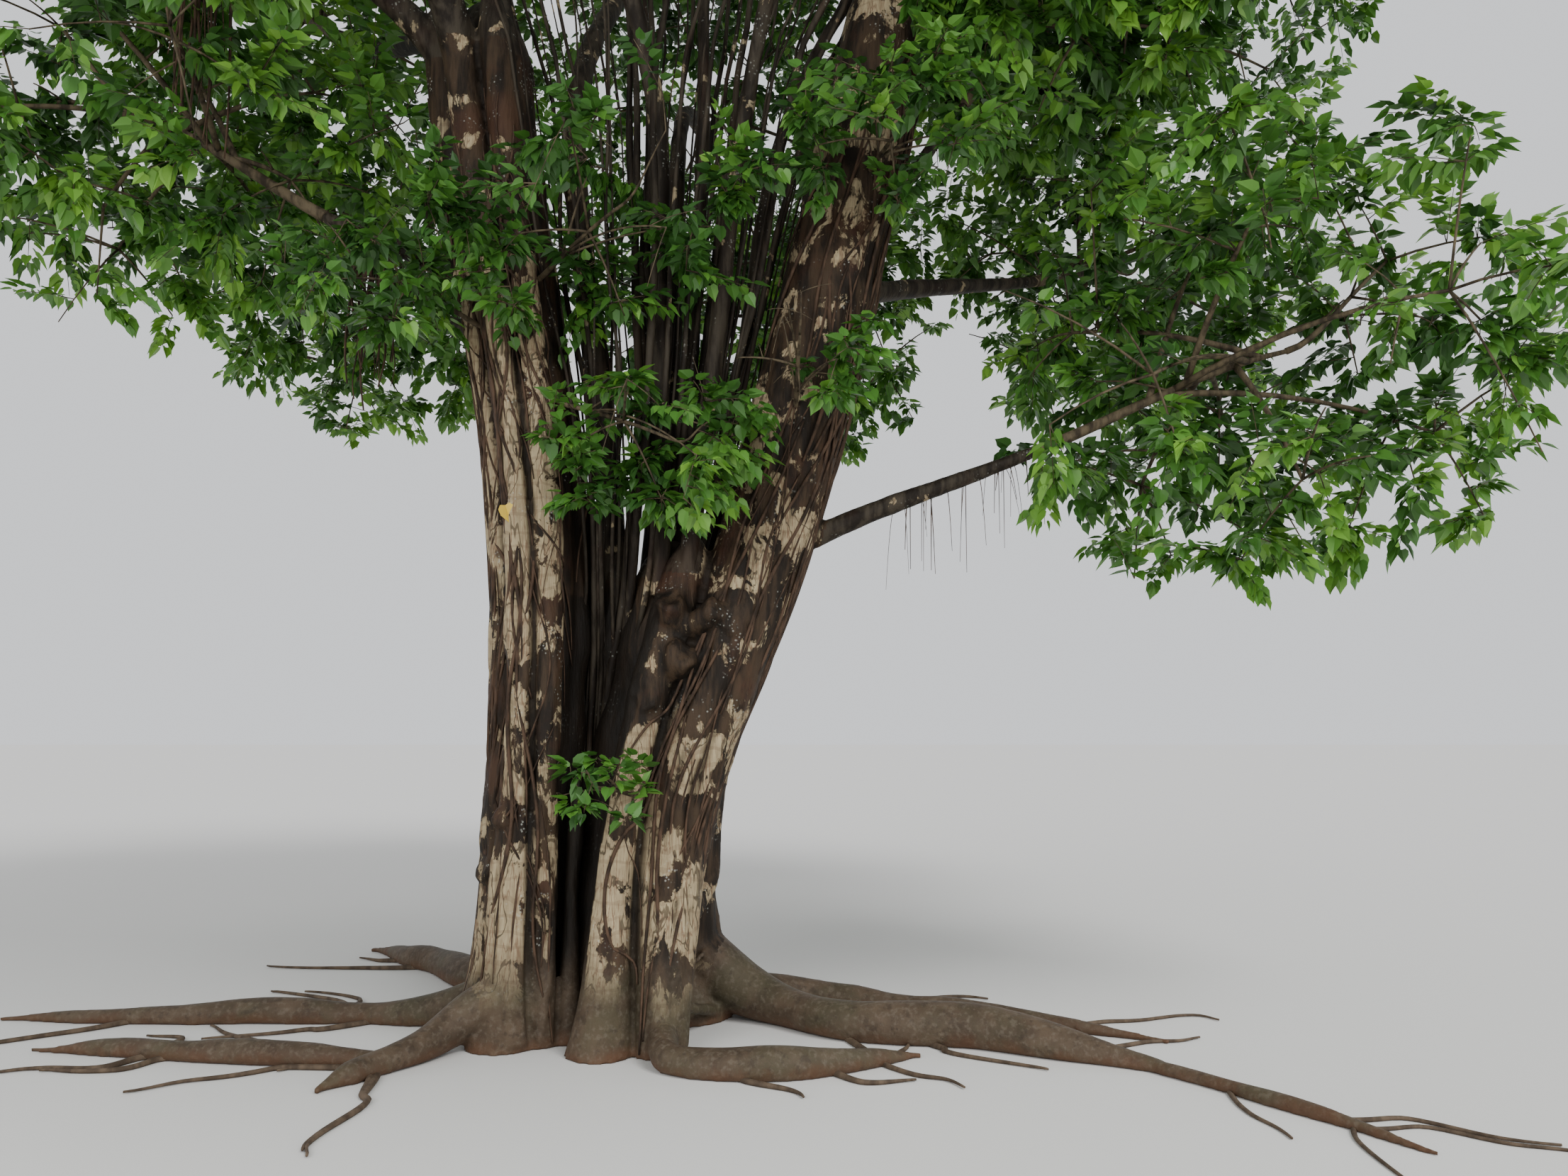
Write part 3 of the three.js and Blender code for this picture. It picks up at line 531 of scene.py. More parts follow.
def tube_arrays(paths, radii, sides, level=False):
    """Closed tubes round many paths of the same number of places: at each place a ring of the given radius,
    square to the path, or level where asked, with a fan over each end. Returns vertices, quads and
    triangles."""
    count, rings = paths.shape[:2]
    if level:
        side = np.broadcast_to([1.0, 0, 0], paths.shape)
        other = np.broadcast_to([0, 1.0, 0], paths.shape)
    else:
        heading = unit(np.gradient(paths, axis=1))
        span = np.abs(paths[:, -1] - paths[:, 0])
        reference = np.eye(3)[np.argmin(span, axis=1)][:, None, :]
        side = unit(np.cross(heading, reference))
        other = np.cross(heading, side)
    angle = np.linspace(0, 2 * np.pi, sides, endpoint=False)
    ring = side[:, :, None] * np.cos(angle)[:, None] + other[:, :, None] * np.sin(angle)[:, None]
    skin = paths[:, :, None] + radii[:, :, None, None] * ring
    vertices = np.concatenate([skin.reshape(count, -1, 3), paths[:, :1], paths[:, -1:]], axis=1)
    here = np.arange(sides)
    beside = (here + 1) % sides
    rows = (np.arange(rings - 1) * sides)[:, None]
    above = rows + sides
    quads = np.stack([rows + here, rows + beside, above + beside, above + here], axis=-1).reshape(-1, 4)
    last = (rings - 1) * sides
    low_fan = np.stack([np.full(sides, rings * sides), beside, here], axis=-1)
    high_fan = np.stack([np.full(sides, rings * sides + 1), last + here, last + beside], axis=-1)
    fans = np.concatenate([low_fan, high_fan])
    shift = (np.arange(count) * vertices.shape[1])[:, None, None]
    return vertices.reshape(-1, 3), (quads + shift).reshape(-1, 4), (fans + shift).reshape(-1, 3)


def joined(parts):
    """Several (vertices, quads, triangles) as one."""
    starts = np.cumsum([0] + [len(vertices) for vertices, _, _ in parts])
    vertices = np.concatenate([part[0] for part in parts])
    quads = np.concatenate([part[1] + start for part, start in zip(parts, starts)])
    triangles = np.concatenate([part[2] + start for part, start in zip(parts, starts)])
    return vertices, quads, triangles


def one_tube(path, radius, sides, level=False):
    """A closed tube round one path."""
    return tube_arrays(path[None], radius[None], sides, level)


def on_ground(parts):
    """Tubes joined, and pressed flat where they would go below the ground."""
    vertices, quads, fans = joined(parts)
    vertices[:, 2] = np.maximum(vertices[:, 2], 0)
    return vertices, quads, fans


def make_mesh(name, vertices, quads=(), triangles=(), smooth=True):
    """A mesh from arrays of vertices, four-sided faces and three-sided faces."""
    quads = np.asarray(quads, np.int32).reshape(-1, 4)
    triangles = np.asarray(triangles, np.int32).reshape(-1, 3)
    mesh = bpy.data.meshes.new(name)
    mesh.vertices.add(len(vertices))
    mesh.vertices.foreach_set("co", np.asarray(vertices, np.float32).ravel())
    corners = np.concatenate([quads.ravel(), triangles.ravel()])
    starts = np.concatenate([np.arange(len(quads)) * 4, len(quads) * 4 + np.arange(len(triangles)) * 3])
    mesh.loops.add(len(corners))
    mesh.loops.foreach_set("vertex_index", corners)
    mesh.polygons.add(len(starts))
    mesh.polygons.foreach_set("loop_start", starts.astype(np.int32))
    mesh.polygons.foreach_set("use_smooth", np.full(len(starts), smooth))
    mesh.update(calc_edges=True)
    return mesh


def add_attribute(mesh, name, values):
    """A number for each vertex that a material can read."""
    mesh.attributes.new(name, "FLOAT", "POINT").data.foreach_set("value", np.asarray(values, np.float32))


def add_piece(name, mesh, materials, stands_for=()):
    """Puts a finished mesh in the scene as a piece of the tree."""
    piece = bpy.data.objects.new(name, mesh)
    bpy.context.scene.collection.objects.link(piece)
    for material in materials:
        mesh.materials.append(material)
    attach(piece, BODY)
    if stands_for:
        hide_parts(*stands_for)


def tube_piece(name, tubes, material, stands_for=()):
    """A piece of joined tubes in one material."""
    add_piece(name, make_mesh(name, *tubes), [material], stands_for)


# Limbs, by the source's rule


def entry_place(mass, place):
    """Where a limb that comes from a place enters a mass: on its ball, drawn in a little."""
    way = place - mass["centre"]
    return mass["centre"] + way * (ENTRY_SHARE * mass["size"] / measure(place, mass["centre"]))


def measure(places, centre):
    """Distance from a centre in the flattened measure, in which every mass is a ball."""
    away = places - centre
    away = away / np.array([1, 1, FLATTEN])
    return np.linalg.norm(away, axis=-1)


@functools.lru_cache(maxsize=None)
def masses():
    """Every mass of the crown and every tuft of shoots: its centre, size and seed, and where its stem
    starts, which way and how thick."""
    found = {"foliage_top": ((*CROWN_AXIS, CROWN_TOP_Z - TOP_MASS_SIZE * FLATTEN), TOP_MASS_SIZE)}
    for tier, ring in RINGS.items():
        for i in range(ring["count"]):
            angle = math.radians(ring["turn"] + 360 / ring["count"] * i)
            x = CROWN_AXIS[0] + ring["radius"] * math.cos(angle)
            y = CROWN_AXIS[1] + ring["radius"] * math.sin(angle)
            found[f"foliage_{tier}_{i + 1}"] = ((x, y, ring["z"]), ring["size"])
    found.update(LOW_MASSES)
    found.update(SHOOTS)
    made = {}
    for i, (name, (centre, size, *grows)) in enumerate(found.items()):
        mass = dict(name=name, centre=np.array(centre), size=size, seed=FIRST_SEED + SEED_STEP * i)
        mass.update(is_shoot=bool(grows), habit=HABITS["shoot" if grows else "crown"])
        if grows:
            start = np.array(grows[0])
            mass.update(start=start, heading=unit(mass["centre"] - start), stem_radius=SHOOT_STEM_RADIUS)
        made[name] = mass
    for start, leave, radius, feeds in BOUGHS.values():
        seat(made[feeds], bough_path(start, leave, made[feeds], 40), radius * BOUGH_TIP_SHARE)
    for pole in POLES.values():
        seat(made[pole["feeds"]], pole_path(pole, made[pole["feeds"]], 60), pole["radius"] * POLE_TIP_SHARE)
    return made


def seat(mass, path, tip_radius):
    """Starts a mass's stem where the path of its limb ends, going the same way."""
    mass.update(start=path[-1], heading=unit(path[-1] - path[-2]), stem_radius=tip_radius)


def bough_path(start, leave, mass, count):
    """A bough's centreline: sets out one way, and arrives at its mass heading for the centre."""
    start = np.asarray(start, float)
    tip = entry_place(mass, start)
    pull = BOUGH_PULL * np.linalg.norm(tip - start)
    arrive = unit(mass["centre"] - tip)
    return bent(start, start + unit(np.asarray(leave, float)) * pull, tip - arrive * pull, tip, count)


def named_bough(name, count):
    """A bough's centreline, by its name."""
    start, leave, _, feeds = BOUGHS[name]
    return bough_path(start, leave, masses()[feeds], count)


def pole_path(pole, mass, count):
    """A pole's centreline: up through the gap between the stems, then out to its mass."""
    foot = np.array([*pole["foot"], FORK_Z])
    mid = np.array([*pole["mid"], POLE_MID_Z])
    tip = entry_place(mass, mid)
    upper = tip - unit(mass["centre"] - tip) * np.linalg.norm(tip - mid) * POLE_PULL
    return through([foot, (foot + mid) / 2, mid, upper, tip], count)


def mass_stem(mass, count):
    """The stem of a mass: from its limb's tip to just past its centre."""
    end = mass["centre"] + (mass["start"] - mass["centre"]) * -STEM_PAST_CENTRE
    pull = STEM_PULL * np.linalg.norm(end - mass["start"])
    last = end + (mass["start"] - end) * STEM_PULL + np.array([0, 0, STEM_LIFT * mass["size"]])
    return bent(mass["start"], mass["start"] + mass["heading"] * pull, last, end, count)


def in_own_space(places, mass, margin):
    """Whether places are inside a mass's ball and on its side of the flat walls halfway to each
    neighbour."""
    own = measure(places, mass["centre"])
    inside = own < mass["size"] - margin
    for other in masses().values():
        if other is mass:
            continue
        theirs = measure(places, other["centre"])
        wall = theirs**2 - other["size"] ** 2 - (own**2 - mass["size"] ** 2)
        inside &= wall > 2 * margin * measure(mass["centre"], other["centre"])
    return inside


@functools.lru_cache(maxsize=None)
def limb_beads():
    """Balls strung along every bough and pole, to keep leaves off them: centres and radii."""
    centres, radii = [], []
    for name, (_, _, radius, _) in BOUGHS.items():
        centres.append(named_bough(name, 24))
        radii.append(np.linspace(radius, radius * BOUGH_TIP_SHARE, 24))
    for pole in POLES.values():
        centres.append(pole_path(pole, masses()[pole["feeds"]], 40))
        radii.append(np.linspace(pole["radius"], pole["radius"] * POLE_TIP_SHARE, 40))
    return np.concatenate(centres), np.concatenate(radii)


def within_reach(places, spare):
    """Whether places lie inside the solids' box, grown by spare."""
    low, high = (np.array(corner, float) for corner in CAD_BOX)
    return ((places > low - spare) & (places < high + spare)).all(axis=-1)


def clear_of_wood(places, margin):
    """Whether places stay a margin away from the trunk, the stems, the boughs and the poles."""
    centres, radii = limb_beads()
    away = np.linalg.norm(places[:, None] - centres, axis=-1) - radii
    return (column_depths(places).max(axis=-1) < -margin) & (away.min(axis=-1) > margin)


# Fused bark


def column_tubes():
    """Each trunk column as level rings, closer together near the ground. Over its end a column leans on as
    before and is rounded off as a quarter ellipse."""
    parts = []
    for column in COLUMNS:
        end = column["end"]
        cap = BASE_CAP if column["side"] == "base" else STEM_CAP
        z = end * np.linspace(0, 1, int(end / COLUMN_RING_STEP) + 4) ** COLUMN_RING_POWER
        z = np.concatenate([z, end + cap * np.sin(np.linspace(0.2, 1.5, CAP_PLACES))])
        centre, radius = column_at(column, z)
        over = np.maximum(z - end, 0)
        at_end, _ = column_at(column, np.array([end]))
        before_end, _ = column_at(column, np.array([end - LEAN_RUN]))
        slope = (at_end - before_end) / LEAN_RUN
        centre = centre + slope * over[:, None]
        radius = radius * np.sqrt(np.maximum(1 - (over / cap) ** 2, 0))
        path = np.concatenate([centre, z[:, None]], axis=-1)
        parts.append(one_tube(path, radius, COLUMN_SIDES, level=True))
    return joined(parts)


def burl_tubes():
    """Knobs where old limbs were lost, at the front of the fork: short tubes that swell as a sine."""
    places, sides = TUBES["knob"]
    swell = 0.55 + 0.45 * np.sin(np.linspace(0.4, 2.6, places))
    return joined([
        one_tube(bent(low, low, high, high, places), radius * swell, sides) for low, high, radius in BURLS
    ])


def root_tubes():
    """Each surface root as a tube, pressed flat where it would go below the ground."""
    _, sides = TUBES["root"]
    return on_ground([one_tube(run[:, :3], run[:, 3], sides) for run in root_runs()])


@functools.lru_cache(maxsize=None)
def root_runs():
    """Each surface root's centreline and radius: a smooth curve through its stations, with noise for its
    bends and swellings. All but one taper over their last fifth."""
    runs = []
    places, _ = TUBES["root"]
    for name, stations in ROOTS.items():
        run = through(stations, places)
        run[1:-1, :2] += (0.03 * noise_vectors(run[:, :3] * 2.4, (71, 72)))[1:-1]
        run[:, 3] *= 1.06 + 0.26 * lattice_noise(run[:, :3] * 3.3, 73)
        if name != UNTAPERED_ROOT:
            run[:, 3] *= 1 - 0.6 * step_up(np.linspace(0, 1, places), 0.8, 1.0)
        runs.append(run)
    return runs


def rootlet_tubes():
    """Thin side roots that leave each surface root to left and right and run out along the ground: curves
    through three places, with noise that grows over their first half."""
    random = np.random.default_rng(61)
    places, sides = TUBES["rootlet"]
    growing = step_up(np.linspace(0, 1, places), 0, 0.5)[:, None]
    parts = []
    for run in root_runs():
        for k, share in enumerate(random.uniform(0.25, 0.85, ROOTLETS_PER_ROOT)):
            i = int(share * (len(run) - 2))
            place, thickness = run[i, :3], run[i, 3]
            heading = unit((run[i + 1, :3] - place) * [1, 1, 0])
            side = np.array([-heading[1], heading[0], 0]) * (1 if k % 2 else -1)
            length = random.uniform(0.25, 0.75)
            thick = min(ROOTLET_RADIUS, 0.35 * thickness)
            low = place * [1, 1, 0] + [0, 0, thick * 0.4]
            middle = low + (0.5 * heading + 0.6 * side) * length * 0.5
            path = through([low, middle, low + (heading + 0.8 * side) * length], places)
            path[:, :2] += 0.12 * growing * noise_vectors(path * 3.4, (74, 75))
            parts.append(one_tube(path, np.linspace(thick, ROOTLET_TIP_RADIUS, places), sides))
    return on_ground(parts)


def bough_tubes():
    """Each bough as a tapering tube that starts a little inside its stem."""
    places, sides = TUBES["bough"]
    parts = []
    for name, (_, _, radius, _) in BOUGHS.items():
        path = named_bough(name, places)
        before = path[0] - unit(path[1] - path[0]) * BOUGH_ROOTED
        path = np.concatenate([before[None], path])
        parts.append(one_tube(path, np.linspace(radius, radius * BOUGH_TIP_SHARE, len(path)), sides))
    return joined(parts)


def strand_tubes():
    """Aerial roots that have grown into the trunk and stand half out of it."""
    random = np.random.default_rng(11)
    places, sides = TUBES["strand"]
    parts = []
    each = sizes().strand_count // 2
    for side, first, sweep in (("left", 1.9, 3.0), ("right", -1.9, 3.4)):
        angle = first + sweep * (np.arange(each) + random.random(each)) / each
        high = CORES[side]["end"] - random.uniform(0.05, 2.2, each)
        low = np.where(random.random(each) < 0.75, 0.03, random.uniform(0.5, 1.6, each))
        drift = random.uniform(-0.5, 0.5, each)
        sway = random.uniform(0.02, 0.09, each)
        phase = random.uniform(0, 6.3, each)
        radius = random.uniform(0.012, 0.032, each)
        paths = creeping_paths(side, high, low, angle, drift, sway, phase, radius * 0.3, places, spans=False)
        swell = 0.75 + 0.5 * np.linspace(0, 1, places) ** 3
        parts.append(tube_arrays(paths, radius[:, None] * swell, sides))
    places, sides = TUBES["gap_strand"]
    for stations, thick in GAP_STRANDS:
        parts.append(one_tube(through(stations, places), np.full(places, thick), sides))
    return joined(parts)


def reshaped(arrays, *modifiers):
    """A mesh of arrays once modifiers, each a kind and its settings, have run on it: vertices, quads and
    outward directions."""
    source = bpy.data.objects.new("shaping", make_mesh("shaping", *arrays))
    bpy.context.scene.collection.objects.link(source)
    for kind, settings in modifiers:
        modifier = source.modifiers.new(kind, kind)
        for key, value in settings.items():
            setattr(modifier, key, value)
    graph = bpy.context.evaluated_depsgraph_get()
    mesh = bpy.data.meshes.new_from_object(source.evaluated_get(graph))
    bpy.data.objects.remove(source)
    found = mesh_arrays(mesh)
    bpy.data.meshes.remove(mesh)
    return found


@functools.lru_cache(maxsize=None)
def fused_skin():
    """One closed skin round columns, roots, boughs and strands: voxels of one step, eased. Returns vertices,
    quads and the outward directions."""
    tubes = joined([column_tubes(), burl_tubes(), root_tubes(), bough_tubes(), strand_tubes()])
    step = sizes().skin_step * 1
    fuse = ("REMESH", dict(mode="VOXEL", voxel_size=step))
    return reshaped(tubes, fuse, ("SMOOTH", dict(factor=0.5, iterations=2)))


def cavity_at(skin, faces, out):
    """How hollow the skin is at each place, from 0 to 1: how far the skin moves outward when it is eased
    flat."""
    times = CAVITY_EASINGS
    eased, _, _ = reshaped((skin, faces), ("SMOOTH", dict(factor=0.5, iterations=times)))
    return step_up(((eased - skin) * out).sum(axis=1), -0.001, 0.010)


def mesh_arrays(mesh):
    """A four-sided mesh's vertices, faces and outward directions."""
    vertices = np.empty(len(mesh.vertices) * 3, np.float32)
    mesh.vertices.foreach_get("co", vertices)
    out = np.empty(len(mesh.vertices) * 3, np.float32)
    mesh.vertex_normals.foreach_get("vector", out)
    corners = np.empty(len(mesh.loops), np.int32)
    mesh.loops.foreach_get("vertex_index", corners)
    return vertices.reshape(-1, 3).astype(float), corners.reshape(-1, 4), out.reshape(-1, 3).astype(float)


def bark_height(places):
    """How far the bark stands over the wood: long ridges, finer ridges on them, broad lumps and a fine
    crackle."""
    ridge = sizes().ridge_height
    warp = places + 0.05 * noise_vectors(places * 3.1, (5, 6, 7))
    return (
        ridge * lattice_noise(warp * [10, 10, 1.1], 1)
        + 0.55 * ridge * lattice_noise(warp * [23, 23, 2.6], 2)
        + sizes().lump_height * lattice_noise(places * 4.2, 3)
        + 0.28 * ridge * lattice_noise(warp * [46, 46, 17], 4)
    )


def hollow_at(places):
    """How deep places lie in the flutes, from 0 to 1, beside the outermost wood a little way round on each
    side."""
    side_line = np.where(places[:, 2] < FORK_Z, -0.03, 0.1 + 0.12 * (places[:, 2] - FORK_Z))
    found = np.zeros(len(places))
    for side, mask in (("left", places[:, 0] < side_line), ("right", places[:, 0] >= side_line)):
        here = places[mask]
        z = np.clip(here[:, 2], 0, CORES[side]["end"])
        core, _ = column_at(CORES[side], z)
        away = here[:, :2] - core
        angle = np.arctan2(away[:, 1], away[:, 0])
        around = np.stack([wood_reach(side, z, angle + turn) for turn in (-0.55, -0.28, 0.28, 0.55)])
        envelope = np.sort(around, axis=0)[1:3].mean(axis=0)
        found[mask] = step_up(envelope - np.linalg.norm(away, axis=1), 0.015, 0.11)
    return found


def seam_at(depths):
    """How near places are to the line where two columns meet, from 0 to 1, from their depths in every
    column: a bell curve of the difference between the two deepest."""
    ranked = np.sort(depths, axis=-1)
    apart = ranked[..., -1] - ranked[..., -2]
    return np.exp(-((apart / SEAM_WIDTH) ** 2)) * step_up(ranked[..., -2], -0.05, -0.015)


def knob_at(places):
    """How near places are to a knob, from 0 to 1."""
    knobs = np.array([high for _, high, _ in BURLS])
    return 1 - step_up(np.linalg.norm(places[:, None] - knobs, axis=-1).min(axis=1), 0.06, 0.16)


def pale_at(places):
    """How much cream bark places show: each column's own share, weighted by how close its skin is. Columns
    that end at the fork fade out below it along a broken line. The left stem shows more cream up to 3.6 m
    and less above, and the right stem, the waist and the knobs show less."""
    depths = column_depths(places)
    weight = np.exp(-np.abs(depths) / 0.025) + 1e-9
    x, z = places[:, 0], places[:, 2]
    based = np.array([column["side"] == "base" for column in COLUMNS])
    fading = step_up(z + 0.3 * lattice_noise(places * 7, 8), 1.75, 2.1)
    shares = np.array([column["pale"] for column in COLUMNS]) * (1 - 0.8 * fading[:, None] * based)
    pale = (weight * shares).sum(axis=-1) / weight.sum(axis=-1)
    upper_left = step_up(z, 3.5, 4.2) * (1 - step_up(x, 0.2, 0.5))
    left_run = step_up(z, 1.9, 2.3) * (1 - step_up(z, 3.4, 3.9)) * (1 - step_up(x, -0.15, 0.0))
    upper_right = step_up(z, 2.1, 2.7) * step_up(x, 0.2, 0.5)
    waist = step_up(z, 0.95, 1.15) * (1 - step_up(z, 1.7, 2.0))
    shown = (1 - 0.5 * upper_left) * (1 + 0.3 * left_run) * (1 - 0.3 * upper_right) * (1 - 0.3 * waist)
    return pale * shown * (1 - 0.55 * knob_at(places))


def skin_part(name, keep, skin, faces, out):
    """The faces of the fused skin that are kept, with the whole skin's outward directions. Returns the mesh
    and the numbers of the skin's vertices in it."""
    used, renumbered = np.unique(faces[keep], return_inverse=True)
    mesh = make_mesh(name, skin[used], renumbered.reshape(-1, 4))
    mesh.normals_split_custom_set_from_vertices(out[used])
    return mesh, used


def raised_skin():
    """The fused skin with its bark raised: ridges, seams and gnarled knobs, weaker on roots and boughs and
    near the ground, and nothing on the ground itself."""
    skin, faces, out = fused_skin()
    depths = column_depths(skin)
    on_column = step_up(depths.max(axis=-1), -0.10, -0.02)
    low = step_up(skin[:, 2], 0.02, 0.55)
    strength = (0.3 + 0.7 * on_column) * (0.25 + 0.75 * low)
    gnarl = lattice_noise(skin * 13, 32) + 0.6 * lattice_noise(skin * 21, 33)
    height = bark_height(skin) * strength - SEAM_DEPTH * seam_at(depths)
    height += GNARL_HEIGHT * gnarl * knob_at(skin)
    raised = skin + out * (height * step_up(skin[:, 2], 0.0, 0.06))[:, None]
    raised[:, 2] = np.maximum(raised[:, 2], 0)
    mesh = make_mesh("measuring", raised, faces)
    arrays = mesh_arrays(mesh)
    bpy.data.meshes.remove(mesh)
    return arrays


class BANYAN_OT_fused_wood(bpy.types.Operator):
    """Fuses the trunk's columns, stems, surface roots and boughs, and raises their bark"""

    bl_idname = "banyan.fused_wood"
    bl_label = "Trunk, stems, roots and boughs"

    def execute(self, context):
        skin, faces, out = raised_skin()
        cavity = cavity_at(skin, faces, out)
        middle = skin[faces].mean(axis=1)
        inside = column_depths(middle).max(axis=-1)
        is_root = (middle[:, 2] < 0.5) & (inside < -0.045)
        is_bough = (middle[:, 2] > 2.2) & (inside < -0.05)
        is_trunk = (middle[:, 2] < FORK_Z) & ~is_root & ~is_bough
        is_stem = ~(is_root | is_bough | is_trunk)
        fluted = fluted_bark()
        parts = (
            ("trunk_bark", is_trunk, "bark", fluted, ["trunk"]),
            ("stems_bark", is_stem, "bark", fluted, ["left_stem", "right_stem"]),
            ("roots_bark", is_root, "root_bark", fluted, list(ROOTS)),
            ("boughs_bark", is_bough, "bark", limb_bark(), list(BOUGHS)),
        )
        for name, keep, slot, material, stands_for in parts:
            mesh, used = skin_part(name, keep, skin, faces, out)
            places = skin[used]
            on_root = name == "roots_bark"
            seam = seam_at(column_depths(places)) * step_up(places[:, 2], 0.1, 0.4)
            foot = 1 - step_up(places[:, 2] + 0.1 * lattice_noise(places * 5, 9), 0.16, 0.48)
            add_attribute(mesh, "pale", pale_at(places) * (0 if on_root else 1))
            # The hollow and cavity numbers drive the bark's painted shade: flutes, seams between columns and
            # hollows in the skin are darkened
            add_attribute(mesh, "hollow", np.maximum(hollow_at(places), 0.85 * seam))
            add_attribute(mesh, "cavity", cavity[used])
            add_attribute(mesh, "foot", np.ones(len(used)) if on_root else foot)
            add_piece(name, mesh, [material], stands_for)
        return {"FINISHED"}


class BANYAN_OT_poles(bpy.types.Operator):
    """Raises the poles in the fork, and slimmer ones beside them"""

    bl_idname = "banyan.poles"
    bl_label = "Poles in the fork"

    def execute(self, context):
        places, sides = TUBES["pole"]
        parts = []
        for pole in POLES.values():
            path = pole_path(pole, masses()[pole["feeds"]], places)
            radius = np.linspace(pole["radius"], pole["radius"] * POLE_TIP_SHARE, places)
            parts.append(ridged_tube(path, radius, sides))
        _, sides = TUBES["slim_pole"]
        for path, radius in slim_poles():
            parts.append(ridged_tube(path, radius, sides))
        tube_piece("poles_bark", joined(parts), limb_bark(), list(POLES))
        return {"FINISHED"}


def ridged_tube(path, radius, sides):
    """A tube whose skin is raised by bark noise, in proportion to its radius."""
    vertices, quads, fans = one_tube(path, radius, sides)
    rings = len(path)
    skin = vertices[: rings * sides].reshape(rings, sides, 3)
    out = unit(skin - path[:, None])
    height = lattice_noise(skin * [16, 16, 2.2], 21) + 0.6 * lattice_noise(skin * [34, 34, 9], 22)
    vertices[: rings * sides] = (skin + out * (height * 0.14 * radius[:, None])[..., None]).reshape(-1, 3)
    return vertices, quads, fans


def slim_poles():
    """Slimmer stems and strands that stand in the fork. Each keeps its share of the way across from the left
    stem to the right stem as it climbs, so that they fan out with the gap, and low down they bow
    together."""
    random = np.random.default_rng(23)
    places, _ = TUBES["slim_pole"]
    found = []
    for i in range(SLIM_POLES):
        share = (i + random.uniform(0.2, 0.8)) / SLIM_POLES
        low = random.uniform(0.9, 1.5)
        high = random.uniform(5.4, 7.0)
        z = np.linspace(low, high, places)
        (left, left_radius), (right, right_radius) = (column_at(column, z) for column in GAP_SIDES)
        over = np.maximum(z - LEFT_STEM_TOP_Z, 0)
        left_x = left[:, 0] + 0.6 * left_radius - 0.35 * over
        right_x = right[:, 0] - 0.85 * right_radius + 0.35 * over
        x = left_x + (right_x - left_x) * share
        y = random.uniform(-0.26, 0.30) + 0.12 * np.sin(z * random.uniform(0.5, 1.4) + random.uniform(0, 6))
        bow = step_up(z, 1.5, 2.8)
        x = x + (0.10 + 0.45 * (share - 0.5) - x) * (1 - step_up(z, 1.3, 2.2)) * 0.5
        path = np.stack([x, 0.1 + (y - 0.1) * (0.2 + 0.8 * bow), z], axis=-1)
        path[:, :2] += 0.035 * noise_vectors(path * 1.3 + i, (24, 25))
        thick = random.choice(SLIM_POLE_RADII)
        found.append((path, np.linspace(thick, thick * SLIM_POLE_TIP_SHARE, places)))
    return found


def clinging_tubes():
    """Thin aerial roots that creep down the trunk and stems, thinner at both ends. A path that leaps across
    a gap is left out."""
    random = np.random.default_rng(31)
    places, sides = TUBES["clinging"]
    taper = np.sin(np.pi * np.linspace(0.03, 0.97, places)) ** 0.35
    parts = []
    each = sizes().clinging_count // 2
    for side, first, sweep in (("left", 1.7, 3.4), ("right", -1.9, 3.5)):
        angle = first + sweep * random.random(each)
        high = random.uniform(1.0, CORES[side]["end"] - 0.05, each)
        low = np.maximum(high - random.uniform(0.6, 2.8, each), 0.02)
        drift = random.normal(0, 0.85, each)
        sway = random.uniform(0.03, 0.22, each)
        phase = random.uniform(0, 6.3, each)
        radius = random.uniform(0.0035, 0.011, each)
        sink = -radius * 0.5 - 0.004
        paths = creeping_paths(side, high, low, angle, drift, sway, phase, sink, places)
        leap = np.linalg.norm(np.diff(paths[..., :2], axis=1), axis=-1).max(axis=1)
        stays = leap < LONGEST_LEAP
        parts.append(tube_arrays(paths[stays], (radius[:, None] * taper)[stays], sides))
    return joined(parts)


class BANYAN_OT_clinging_roots(bpy.types.Operator):
    """Lays thin aerial roots over the trunk and stems, and thin side roots over the ground"""

    bl_idname = "banyan.clinging_roots"
    bl_label = "Clinging roots"

    def execute(self, context):
        tube_piece("clinging_roots", clinging_tubes(), aerial_root_bark())
        tube_piece("side_roots", rootlet_tubes(), ground_root_bark())
        return {"FINISHED"}


def hanging_tubes(bough, share, drop, spread, random):
    """A bunch of strands under a bough. They spread over a flattened disc by the golden angle, fall
    straight, and swing as sines that grow on the way down."""
    top = named_bough(bough, 101)[int(share * 100)]
    i = np.arange(STRANDS_PER_BUNCH)
    angle = i * GOLDEN_ANGLE
    out = spread * np.sqrt((i + 0.5) / len(i))
    reach = np.stack([np.cos(angle) * out, 0.7 * np.sin(angle) * out, 0 * out], axis=-1)
    length = drop * random.uniform(0.45, 1.0, len(i))
    places, sides = TUBES["hanging"]
    t = np.linspace(0, 1, places)
    pace = random.uniform(4, 11, len(i))[:, None]
    swing = 0.02 * np.sin(t * pace + random.uniform(0, 6, len(i))[:, None]) * t
    paths = top + reach[:, None] * np.minimum(1, 3.2 * t)[None, :, None]
    paths[..., 0] += swing
    paths[..., 2] -= length[:, None] * t + 0.02
    radius = random.uniform(0.003, 0.013, len(i))[:, None] * np.linspace(1, 0.4, places)
    return tube_arrays(paths, radius, sides)


